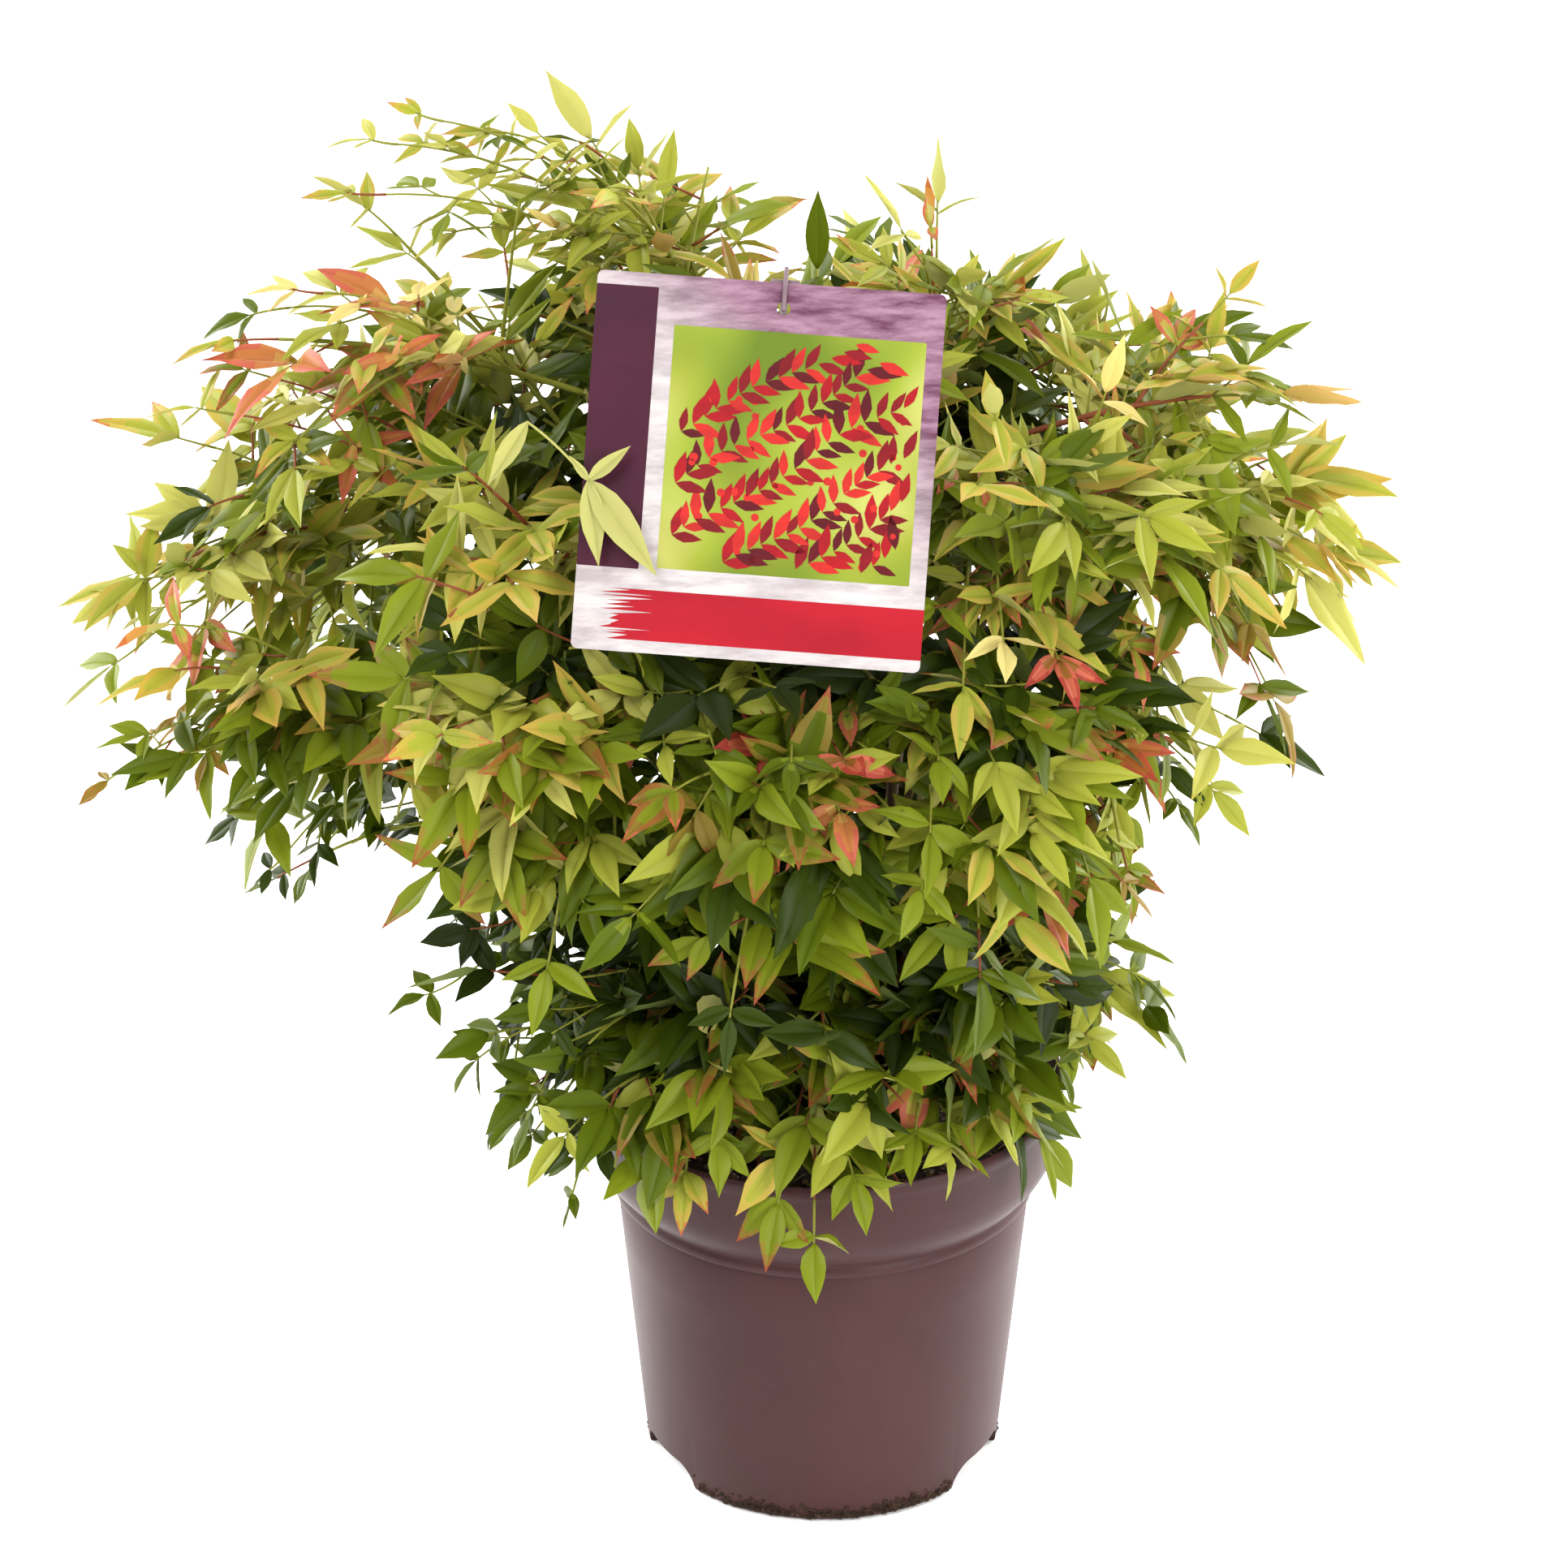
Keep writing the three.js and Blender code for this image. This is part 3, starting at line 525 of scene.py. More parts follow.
def build_mesh(name, points, faces, materials, slots=None, sharp=None):
    """faces holds arrays of corner numbers, one row a face, and slots one array for each."""
    corners = np.concatenate([f.ravel() for f in faces]).astype(np.int32)
    sizes = np.concatenate([np.full(len(f), f.shape[1]) for f in faces])
    mesh = bpy.data.meshes.new(name)
    mesh.vertices.add(len(points))
    mesh.vertices.foreach_set("co", (np.asarray(points) * MM).astype(np.float32).ravel())
    mesh.loops.add(len(corners))
    mesh.loops.foreach_set("vertex_index", corners)
    mesh.polygons.add(len(sizes))
    starts = np.concatenate(([0], np.cumsum(sizes)[:-1])).astype(np.int32)
    mesh.polygons.foreach_set("loop_start", starts)
    if slots:
        mesh.polygons.foreach_set("material_index", np.concatenate(slots).astype(np.int32))
    for material in materials:
        mesh.materials.append(material)
    mesh.update(calc_edges=True)
    mesh.shade_smooth()
    if sharp is not None:
        ends = np.empty(len(mesh.edges) * 2, np.int32)
        mesh.edges.foreach_get("vertices", ends)
        both = np.bitwise_and(*sharp[ends].reshape(-1, 2).T) > 0
        mesh.attributes.new("sharp_edge", "BOOLEAN", "EDGE").data.foreach_set("value", both)
    return new_object(name, mesh)


def place_piece(piece, slot, *nodes):
    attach(piece, "root")
    if nodes:
        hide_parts(*nodes)


def circle(sides):
    return np.arange(sides) * 2 * math.pi / sides


def ring_quads(rings, sides):
    """The numbers of rings of points, those of the next points round, and the quads between."""
    ids = np.arange(rings * sides).reshape(rings, sides)
    ahead = np.roll(ids, -1, axis=1)
    quads = np.stack([ids[:-1], ahead[:-1], ahead[1:], ids[1:]], axis=-1)
    return ids, ahead, quads.reshape(-1, 4)


def tube_rings(line, radii, sides):
    along = np.gradient(line, axis=0)
    along /= np.linalg.norm(along, axis=1)[:, None]
    side = np.cross(along[0], UP if abs(along[0][2]) < 0.9 else np.array((0.0, 1.0, 0.0)))
    cosines, sines = np.cos(circle(sides)), np.sin(circle(sides))
    rings = []
    for centre, heading, radius in zip(line, along, radii):
        side = unit(side - heading * (side @ heading))
        ring = np.outer(cosines, side) + np.outer(sines, np.cross(heading, side))
        rings.append(centre + ring * radius)
    return np.array(rings)


class Parts:
    """Closed parts, gathered for one mesh."""

    def __init__(self):
        self.points, self.faces, self.slots, self.count = [], [], [], 0

    def add(self, points, *faces, slot=0):
        self.points.append(points)
        self.faces.append([kind + self.count for kind in faces])
        self.slots.append(slot)
        self.count += len(points)

    def add_rings(self, rings, slot=0):
        """Rings of points, joined by quads and closed at both ends."""
        ids, _, quads = ring_quads(*rings.shape[:2])
        fan = np.arange(1, rings.shape[1] - 1)
        first = ids[0][np.stack([0 * fan, fan + 1, fan], axis=-1)]
        last = ids[-1][np.stack([0 * fan, fan, fan + 1], axis=-1)]
        self.add(rings.reshape(-1, 3), quads, np.concatenate((first, last)), slot=slot)

    def add_tube(self, line, radii, sides, slot=0):
        self.add_rings(tube_rings(line, radii, sides), slot)

    def build(self, name, materials):
        faces, slots = [], []
        for kind in zip(*self.faces):
            faces.append(np.concatenate(kind))
            slots.append(np.repeat(self.slots, [len(part) for part in kind]))
        return build_mesh(name, np.concatenate(self.points), faces, materials, slots)


# A leaf is seven rows of six points, five across its top and one below the midrib, and its tip.
STATIONS = np.array((0, 0.10, 0.24, 0.40, 0.57, 0.74, 0.89, 1.0))
WIDTHS = np.array((0.06, 0.50, 0.87, 1.0, 0.88, 0.56, 0.22, 0.0))
COLUMNS = (-1, -0.5, 0, 0.5, 1.0)
TIP = 42
MIDRIB, MARGIN = 1, 2
LEAF_THICKNESS = 0.45
BULGE = 0.16  # of half the width, between the midrib and the margin
RIPPLE = 0.16


def leaf_template():
    """Quads and triangles of one leaf, each with its stretch and zone, and its points' kinds."""
    zones = (1, 0, 0, 1)
    quads = []
    for k in range(6):
        a, b = 6 * k, 6 * k + 6
        quads += [(a + c, b + c, b + c + 1, a + c + 1, k, zones[c]) for c in range(4)]
        quads += [(a, a + 5, b + 5, b, k, 2), (a + 5, a + 4, b + 4, b + 5, k, 2)]
    tris = [(36 + c, TIP, 37 + c, 6, zones[c]) for c in range(4)]
    tris += [(36, 41, TIP, 6, 2), (41, 40, TIP, 6, 2)]
    tris += [(c, c + 1, 5, 0, 2) for c in range(4)]
    kinds = np.zeros(TIP + 1, np.int32)
    kinds[2:TIP:6] = MIDRIB
    kinds[0:TIP:6] = kinds[4:TIP:6] = MARGIN
    kinds[TIP] = MIDRIB | MARGIN
    return [np.array(quads), np.array(tris)], kinds


LEAF_FACES, LEAF_KINDS = leaf_template()


class Leaves:
    """Leaflets, gathered for one mesh."""

    def __init__(self):
        self.rows, self.tints = [], []

    def add(self, tint, *row):
        """A row is base, heading and normal, then length, width, fold, curl, twist and wave."""
        self.tints.append(tint)
        self.rows.append(np.hstack(row))

    def points(self):
        rows = np.array(self.rows)
        base, heading, normal = rows[:, None, 0:3], rows[:, 3:6], rows[:, 6:9]
        length, width, fold, curl, twist, wave = rows[:, 9:15].T[:, :, None]
        side = np.cross(normal, heading)
        side /= np.linalg.norm(side, axis=1)[:, None]
        normal = np.cross(heading, side)[:, None]
        heading, side = heading[:, None], side[:, None]
        bend = curl * STATIONS**1.4
        middle = (bend[:, 1:] + bend[:, :-1]) / 2

        def far(shares):
            sums = np.cumsum(shares * np.diff(STATIONS), axis=1)
            return (length * np.pad(sums, ((0, 0), (1, 0))))[..., None]

        line = base + far(np.cos(middle)) * heading - far(np.sin(middle)) * normal
        lift = normal * np.cos(bend)[..., None] + heading * np.sin(bend)[..., None]
        turn = (twist * STATIONS)[..., None]
        across = side * np.cos(turn) + lift * np.sin(turn)
        lift = lift * np.cos(turn) - side * np.sin(turn)
        half = WIDTHS * width / 2
        blade = np.empty((len(rows), 8, 6, 3))
        for i, c in enumerate(COLUMNS):
            rise = abs(c) * np.sin(fold) + BULGE * (abs(c) == 0.5)
            rise = rise + RIPPLE * c * c * np.sin(wave + 9 * STATIONS + 2 * np.sign(c))
            out = (half * c * np.cos(fold))[..., None] * across
            blade[:, :, i] = line + out + (half * rise)[..., None] * lift
        blade[:, :, 5] = line - (LEAF_THICKNESS * np.minimum(WIDTHS * 2, 1))[:, None] * lift
        return np.concatenate((blade[:, :7].reshape(-1, TIP, 3), blade[:, 7:8, 2]), axis=1)

    def build(self, name):
        points = self.points()
        clear = ~in_pot(points).any(axis=1)
        points, tints = points[clear], TINT_TABLE[np.array(self.tints)[clear]]
        first = (np.arange(len(points)) * (TIP + 1))[:, None, None]
        faces, slots = [], []
        for template in LEAF_FACES:
            corners, (stretch, zone) = template[:, :-2], template[:, -2:].T
            faces.append((first + corners).reshape(-1, corners.shape[1]))
            slots.append(tints[:, zone, stretch].ravel())
        kinds = np.tile(LEAF_KINDS, len(points))
        return build_mesh(name, points.reshape(-1, 3), faces, LEAF_MATERIALS, slots, kinds)


# ---- growing ---------------------------------------------------------------------------------
LEAF_SHARE, LONGEST_LEAF = 0.62, 58  # a leaflet's length: a share of its pinna's, and the most
LEAF_FOLDS, LEAF_CURLS = (0.06, 0.4), (-0.15, 0.6)
LEAF_WIDTHS = {  # as shares of their length
    "crown": (0.26, 0.35), "shoulder": (0.28, 0.37), "waist": (0.31, 0.41), "skirt": (0.36, 0.46),
    "inner": (0.36, 0.46),
}
LEAF_SCALES = {  # the sprays whose leaflets are smaller or larger than the rest
    "skirt_1": 1.12, "skirt_3": 0.72, "skirt_4": 0.72, "skirt_5": 0.72, "skirt_6": 1.18,
    "skirt_7": 1.22, "skirt_8": 1.22,
}
STEM_RADII, SHOOT_RADII, PINNA_RADII = (1.65, 0.8), (1.2, 0.65), (0.75, 0.5)
REACH_RADII, INNER_RADII = (1.1, 0.55), (1.3, 0.7)
TO_LIGHT = np.array((0.0, -0.22, 0.0))  # the plant was grown with more light from its front
RED_ABOVE = 575  # the reddest sprays are green below this height
RED_STALKS = {"bronzed": 0.7, "front": 0.35, "tipped": 0.45, "flamed": 0.6}  # shares by mix
FEW_RED_STALKS = 0.2  # of the other mixes' stalks


class Growth:
    """The leaves and twigs of one tier."""

    def __init__(self, widths):
        self.leaves, self.twigs, self.widths = Leaves(), Parts(), widths

    def add_stem(self, path, radii, slot, sides=5, nodes=()):
        radii = stem_radii(len(path.points), *radii, nodes)
        self.twigs.add_tube(path.points, radii, sides, slot)


def stem_radii(count, foot, top, nodes=()):
    """A taper that swells a little at each of the nodes."""
    shares = np.linspace(0, 1, count)
    radii = foot + (top - foot) * shares
    for node in nodes:
        radii = radii * (1 + 0.35 * np.exp(-(((shares - node) * 26) ** 2)))
    return radii


def stray(draw, width):
    """A random number within half the width of 0."""
    return width * (draw() - 0.5)


def facing(heading, point, draw, spread=0.5):
    """The way a leaf's top looks: up and out of the crown, with some of its own mind."""
    out = (point - CROWN_CENTRE) * (1, 1, 0.35)
    wish = UP * 0.7 + unit(out) * 0.45 + TO_LIGHT
    wish = wish + spread * (np.array((draw(), draw(), draw())) - 0.5) * 2.6
    return unit(wish - heading * (wish @ heading))


def add_leaflet(growth, base, heading, size, tint, draw):
    heading = unit(heading)
    normal = facing(heading, base, draw)
    if meets_label([base + heading * size * share for share in (0.15, 0.55, 1.0)]):
        return
    width = size * between(draw, *growth.widths)
    bends = [between(draw, *ends) for ends in (LEAF_FOLDS, LEAF_CURLS, (-0.5, 0.5), (0, 6.28))]
    growth.leaves.add(tint, base - heading * 0.4, heading, normal, size, width, *bends)


def add_pinna(growth, base, heading, length, droop, tints, draw, small):
    """A short twig with one leaflet at its end and a pair or two along it."""
    heading = unit(heading)
    size = min(length * LEAF_SHARE, LONGEST_LEAF) * between(draw, 0.88, 1.06) * small
    stalk = max(length - size, 8.0)
    end = base + heading * stalk + UP * stalk * between(draw, -0.16, 0.2)
    path = Path(base, base + heading * stalk * 0.55, end, 4)
    tint, slot = tints
    growth.add_stem(path, PINNA_RADII, slot, 4)
    _, along = path.at(1)
    side = np.cross(along, facing(along, end, draw, 0.3))
    add_leaflet(growth, end, along + UP * between(draw, -0.3, 0.16), size, tint, draw)
    shares = (0.86,) if length < 62 or draw() < 0.45 else (0.9, 0.36)
    for share in shares:
        for sign in (1, -1):
            place, along = path.at(share - 0.04 * (sign > 0))
            spread = math.radians(between(draw, 40, 92))
            out = along * math.cos(spread) + side * sign * math.sin(spread)
            out = out + UP * between(draw, -0.5, 0.42)
            add_leaflet(growth, place, out, size * between(draw, 0.72, 0.98), tint, draw)


def stalk_slot(draw, mix):
    return SLOT["stalk_red"] if draw() < RED_STALKS.get(mix, FEW_RED_STALKS) else SLOT["stalk"]


def depth_in_crown(point):
    """0 in the middle of the crown and about 1 at its margin."""
    return np.linalg.norm((point - CROWN_CENTRE) / CROWN_RADII)


def pinna_tints(draw, mix, base):
    """A tint and a stalk colour. Deep in the crown the leaves are darker: older, and with painted
    shade.
    """
    if depth_in_crown(base) < between(draw, 0.26, 0.55):
        # deep in the crown the darker inner tints stand partly for older leaves, partly for painted
        # shade
        mix = "inner"
    elif mix == "bronzed" and base[2] < RED_ABOVE:
        mix = "fresh"
    tints = MIX_LISTS[mix]
    return tints[int(draw() * len(tints))], stalk_slot(draw, mix)


def grow_pinnae(growth, path, pairs, leaf, droop, mix, draw, small=1.0, fits=None):
    """Pinnae along a stem: one at its end, and pairs, the outermost first.

    A test of what fits keeps them in the crown and out of its openings.
    """
    gaps = MARGIN_GAPS if fits else 0
    places = [(share - STAGGER * (sign < 0), sign) for share in reversed(pairs) for sign in (1, -1)]
    for share, sign in [(1.0, 0), *places]:
        base, along = path.at(share)
        level = unit(UP - along * along[2])
        normal = turned(level, along, stray(draw, 0.8))
        side = np.cross(along, normal)
        if sign and depth_in_crown(base) > MARGIN_DEPTH and draw() < gaps:
            continue
        spread = sign * math.radians(PINNA_SPREAD + stray(draw, 44))
        fall = droop * (0.7 if sign else 0.2) * (1 + stray(draw, SIZE_SPREAD))
        heading = unit(along * math.cos(spread) + side * math.sin(spread) - UP * fall)
        size = leaf * (1 - 0.25 * (share - 0.25)) * (1 + stray(draw, SIZE_SPREAD))
        for attempt in range(TRIES):
            turn = (1 if attempt % 2 else -1) * math.ceil(attempt / 2) * TURN_STEP
            way = turned(heading, along, turn)
            length = size * (1 - attempt * SHORTER)
            tip, halfway = base + way * length, base + way * length * 0.5
            if fits and (in_opening(tip) or in_opening(halfway) or not fits(tip)):
                continue
            twig = base + way * length * np.array([[0.0], [0.25], [0.5]])
            if not meets_label([tip, base]) and not in_pot(twig).any():
                tints = pinna_tints(draw, mix, base)
                add_pinna(growth, base, way, length, droop, tints, draw, small)
                break


def shoot_of(plan, k, attempt):
    """The kth side shoot of a spray, as in the solids."""
    draw = seeded(SEED + plan.seed * 101 + k * 7)
    share = SHOOT_ZONE[0] + (SHOOT_ZONE[1] - SHOOT_ZONE[0]) * ((FIRST_SHOOT + k * GOLDEN_STEP) % 1)
    base, along = plan.stem.at(share)
    roll = k * GOLDEN_TURN + plan.seed + stray(draw, 0.7) + attempt * TURN_STEP
    side = turned(unit(np.cross(along, UP)), along, roll)
    spread = math.radians(SHOOT_SPREAD + stray(draw, 16))
    heading = along * math.cos(spread) + side * math.sin(spread)
    full = plan.span * (SHOOT_LENGTH[0] - SHOOT_LENGTH[1] * share) * (1 + stray(draw, SIZE_SPREAD))
    length = full * (1 - attempt * SHORTER)
    sag = SHOOT_SAG[0] + SHOOT_SAG[1] * max(0, plan.droop)
    end = base + heading * length - UP * sag * length
    leaf = plan.leaf * (1 + stray(draw, 0.2))
    return Path(base, base + heading * SHOOT_BEND * length, end, 8), leaf


def grow_spray(growth, index, plan):
    """One spray: its stem, its side shoots, and pinnae along them all."""
    draw = seeded(SEED * 31 + plan.seed * 57)
    small = LEAF_SCALES.get(plan.name, 1.0)
    slot = stalk_slot(draw, plan.mix)
    growth.add_stem(plan.stem, STEM_RADII, slot, 6, STEM_PAIRS)

    def fits(point):
        return in_crown(point, 1.02) and in_own_space(point, index)

    def clear(point):
        return in_crown(point) and in_own_space(point, index) and not in_opening(point)

    rest = (plan.droop * FINE_DROOP, plan.mix, draw, small, fits)
    grow_pinnae(growth, plan.stem, STEM_PAIRS, plan.leaf, *rest)
    for k in range(SHOOTS):
        for attempt in range(TRIES):
            path, leaf = shoot_of(plan, k, attempt)
            free = path.points[2:]
            if all(map(clear, free[::2])) and not meets_label(free) and not in_pot(free).any():
                growth.add_stem(path, SHOOT_RADII, slot)
                grow_pinnae(growth, path, PAIRS, leaf * 0.92, *rest)
                break


# Long thin shoots that end the crown's outline: the point they reach, the spray they grow from,
# where on its stem they leave it, the length of their pinnae, and their mix of tints.
REACHING = table("""
    -238 10 676 crown_2 0.5 46 pale, -228 16 700 crown_2 0.62 42 pale,
    -204 20 712 crown_2 0.7 40 fresh, -170 30 706 crown_2 0.8 44 fresh,
    -124 24 708 crown_2 0.7 50 leafy, -196 0 664 crown_2 0.5 50 fresh,
    -316 -20 589 crown_7 0.35 58 bronzed, -292 -10 608 crown_7 0.4 60 bronzed,
    -296 0 625 shoulder_5 0.3 60 fresh, -262 -20 638 shoulder_5 0.25 40 straw,
    -319 -40 541 waist_7 0.2 62 leafy, 48 20 676 crown_3 0.5 56 amberish,
    66 10 642 crown_3 0.4 50 amberish, 209 -20 614 crown_6 0.4 70 pale,
    236 -40 585 crown_6 0.4 70 pale, 226 -40 560 crown_6 0.3 56 amberish,
    268 -30 497 waist_1 0.45 54 fresh, 239 -90 419 waist_1 0.35 82 brown,
    208 -74 474 waist_1 0.3 72 brown, 221 -80 462 waist_1 0.45 66 brown,
    240 -60 420 waist_2 0.25 66 leafy, 211 -90 395 waist_2 0.3 62 leafy,
    190 -90 380 waist_2 0.3 58 leafy, 186 -92 404 waist_2 0.2 58 leafy,
    222 -90 436 waist_1 0.4 60 front, 170 -110 426 waist_2 0.2 66 fresh,
    152 -130 462 waist_1 0.1 74 flamed, 152 -140 438 waist_2 0.1 66 flamed,
    177 -60 300 skirt_1 0.45 58 leafy, 185 -60 274 skirt_1 0.5 56 leafy,
    160 -60 326 skirt_1 0.3 56 leafy, 152 -72 244 skirt_1 0.5 54 fresh,
    132 -84 240 skirt_1 0.4 50 fresh, -364 -60 486 waist_7 0.45 62 fresh,
    -352 -50 496 waist_7 0.5 60 pale, -362 -70 450 waist_7 0.35 58 fresh,
    -350 -90 430 waist_8 0.5 56 leafy, -324 -100 424 waist_8 0.4 66 leafy,
    -362 -80 400 waist_8 0.6 40 brown, -330 -40 446 waist_7 0.3 60 leafy,
    -304 -20 352 waist_8 0.1 44 shaded, -287 -20 318 waist_8 0.04 42 shaded,
    -268 0 312 waist_8 0.0 42 shaded, -262 -20 350 waist_8 0.05 44 shaded,
    -212 -40 268 skirt_4 0.2 46 shaded, -193 -40 236 skirt_5 0.25 44 shaded,
    -160 -60 192 skirt_5 0.35 44 shaded, -133 -60 150 skirt_5 0.5 44 shaded,
    -70 -222 486 waist_9 0.1 60 leafy, -106 -214 478 waist_9 0.3 66 leafy,
    -43 -222 484 waist_9 0.05 56 leafy, -17 -226 488 waist_10 0.1 56 leafy,
    14 -226 484 waist_10 0.15 60 flamed, 14 -228 456 waist_10 0.3 66 flamed,
    44 -226 446 waist_11 0.2 66 leafy, 50 -216 484 waist_11 0.05 60 leafy,
    84 -206 476 waist_11 0.1 60 leafy, 142 -130 475 shoulder_6 0.1 66 bronzed,
    -140 -206 466 waist_9 0.5 66 fresh, 118 -176 360 waist_11 0.3 64 flamed,
    80 -196 508 shoulder_6 0.2 64 pale, 112 -186 490 shoulder_6 0.3 66 flamed,
    58 -206 492 shoulder_6 0.1 60 fresh, 104 -196 458 waist_11 0.2 66 tipped,
    -136 -205 494 waist_9 0.3 62 front, -6 -164 168 skirt_7 0.6 66 tipped,
    -31 -158 189 skirt_7 0.5 62 tipped, 23 -156 207 skirt_7 0.55 60 tipped,
    -71 -136 194 skirt_6 0.6 58 tipped, -90 -128 211 skirt_6 0.5 60 tipped,
    -49 -150 229 skirt_6 0.5 60 leafy, 60 -146 213 skirt_8 0.6 58 fresh,
    39 -152 231 skirt_8 0.4 60 leafy, 92 -124 234 skirt_8 0.7 60 tipped
""")
REACH_ARCH = 0.2
REACH_PAIR_GAP = 0.56  # of a pinna's length


def grow_reaching(growth, k, x, y, z, spray, share, leaf, mix):
    draw = seeded(SEED * 191 + k * 29)
    base, _ = STEMS[spray].at(share)
    target = np.array((x, y, z), float)
    end = target + (base - target) * 0.8 * leaf / np.linalg.norm(target - base)
    path = arch_between(base, end, REACH_ARCH)
    growth.add_stem(path, REACH_RADII, stalk_slot(draw, mix))
    step = REACH_PAIR_GAP * leaf / path.length
    pairs = np.arange(1 - step, 0.25, -step)[::-1]
    grow_pinnae(growth, path, pairs, leaf, 0.05, mix, draw, 0.9 if mix == "shaded" else 1.0)


# A pale sprig that hangs over the label's left edge: its foot, its node, and its leaves' tips.
SPRIG_FOOT = np.array((-133.0, -149.2, 611.0))
SPRIG_NODE = np.array((-106.1, -160.1, 587.7))
SPRIG_TIPS = np.array(table("""
    -87.1 -153.4 602.0, -75.7 -178.2 548.8, -101.5 -176.4 552.7, -115.1 -155.2 598.1,
    -150.9 -161.3 585.1
"""))


def grow_sprig(growth):
    draw = seeded(SEED * 7)
    stem = STEMS["crown_7"].points
    start = stem[np.argmin(np.linalg.norm(stem - SPRIG_FOOT, axis=1))]
    for a, b, thick in ((start, SPRIG_FOOT, 0.8), (SPRIG_FOOT, SPRIG_NODE, 0.6)):
        line = arch_between(a, b, 0.1).sampled(8)
        growth.twigs.add_tube(line, np.full(9, thick), 5, SLOT["under_pale"])
    out = LABEL_TURN[:, 2]
    for tip in SPRIG_TIPS:
        foot = SPRIG_FOOT if tip[0] < SPRIG_FOOT[0] else SPRIG_NODE
        size = float(np.linalg.norm(tip - foot))
        heading = (tip - foot) / size
        normal = unit(out - heading * (out @ heading) + 0.3 * UP)
        bends = 0.35, between(draw, -0.1, 0.15), 0.2, between(draw, 0, 6.28)
        leaf = foot - heading * 0.4, heading, normal, size, size * 0.3
        growth.leaves.add(TINT_NAMES.index("wan"), *leaf, *bends)


def grow_inner(growth):
    """Thin twigs from the canes with darker leaves, older and with painted shade, inside the crown.
    """
    for k in range(INNER_SPRAYS):
        draw = seeded(SEED * 77 + k * 13)
        cane = k % len(CANES)
        low, high, near, far, flat, steep = INNER_RINGS[k % len(INNER_RINGS)]
        start = cane_at_height(cane, min(between(draw, low, high), CANES[cane][-1] - 6))
        azimuth = math.degrees(math.atan2(start[1], start[0])) + between(draw, -80, 80)
        end = start + polar(azimuth, between(draw, near, far), between(draw, flat, steep))
        path = arch_between(start, end, 0.12)
        if not meets_label(path.points):
            growth.add_stem(path, INNER_RADII, SLOT["stalk"])
            fits = lambda point: in_crown(point, 0.87)
            grow_pinnae(growth, path, INNER_PAIRS, INNER_LEAF, 0.2, "inner", draw, fits=fits)


growths = {name: Growth(widths) for name, widths in LEAF_WIDTHS.items()}
for index, plan in enumerate(PLANS):
    grow_spray(growths[plan.tier], index, plan)
grow_inner(growths["inner"])
for k, row in enumerate(REACHING):
    grow_reaching(growths[row[3].split("_")[0]], k, *row)
grow_sprig(growths["crown"])
for name, growth in growths.items():
    nodes = [plan.name + "_foliage" for plan in PLANS if plan.tier == name]
    place_piece(growth.leaves.build(name + "_leaves"), "foliage", *nodes)
    place_piece(growth.twigs.build(name + "_twigs", LEAF_MATERIALS), "foliage")


# ---- canes and boughs ------------------------------------------------------------------------
def add_limb(limbs, path, radii, sides, step, node_gap, seed):
    """A limb with grooved bark, and a ring with the torn edge of an old leaf base at each node."""
    draw = seeded(seed)
    count = max(int(path.length / step), 8)
    line = path.sampled(count)
    far = np.linspace(0, 1, count + 1) * path.length
    phase = far % node_gap
    ring, torn = np.exp(-((phase / 2.2) ** 2)), np.exp(-(((phase - node_gap) / 5) ** 2))
    grooves = 0
    for i, waves in enumerate((3, 5, 7)):
        slant, turn = between(draw, 0.01, 0.09), draw() * 6
        turns = circle(sides) * waves + far[:, None] * slant + turn
        grooves = grooves + 0.05 / (i + 1) * np.sin(turns)
    radii = stem_radii(count + 1, *radii) * (1 + 0.13 * ring + 0.05 * torn)
    plain = tube_rings(line, radii, sides)
    limbs.add_rings(line[:, None] + (plain - line[:, None]) * (1 + grooves[..., None]))


def place_limbs(name, paths, radii, sides, step, node_gap, seed, *colours):
    """One piece for all the limbs, which replaces the solids of the same names."""
    limbs = Parts()
    for i, path in enumerate(paths.values()):
        add_limb(limbs, path, radii, sides, step, node_gap, seed + i)
    bark = bark_material(name + "_bark", *colours)
    place_piece(limbs.build(name + "s", [bark]), name, *paths)


place_limbs(
    "cane", {f"cane_{i}": path for i, path in enumerate(CANE_PATHS, 1)},
    CANE_RADII, 14, 2.0, 35.0, SEED, (70, 48, 32), (120, 90, 58), (112, 70, 52),
)
place_limbs(
    "bough", {plan.name + "_bough": plan.bough for plan in PLANS if plan.bough},
    BOUGH_RADII, 10, 3.0, 60.0, 500, (98, 88, 44), (134, 128, 64), (128, 84, 56),
)

# ---- pot -------------------------------------------------------------------------------------
POT_SIDES = 144
# Radius and height, from the foot up to the lip, down inside the wall and over the floor.
POT_PROFILE = table("""
    0 0, 87.0 0, 88.6 0.4, 89.6 1.4, 90.0 3, 95.7 62, 101.0 118, 103.7 146.2, 103.1 147.2,
    103.2 148.2, 104.6 149.0, 105.9 149.6, 106.3 151, 106.2 153.2, 105.4 154.3, 105.3 155.4,
    106.4 156.4, 108.6 159, 112.4 163.5, 115.2 168.6, 117.2 175, 118.6 188, 119.2 198,
    119.5 200.2, 120.0 201.6, 120.0 204.6, 119.6 206.2, 118.8 207, 117.9 206.9, 117.3 206.0,
    117.0 203.5, 116.2 190, 115.4 175, 110.6 163.5, 102.2 150, 88.2 6, 85.2 3, 0 3
""")
NOTCH_AZIMUTHS = (90, 207, 333)
NOTCH_HALF, NOTCH_HEIGHT = 26.0, 13.0
NOTCH_RADII = (78.0, 106.0)


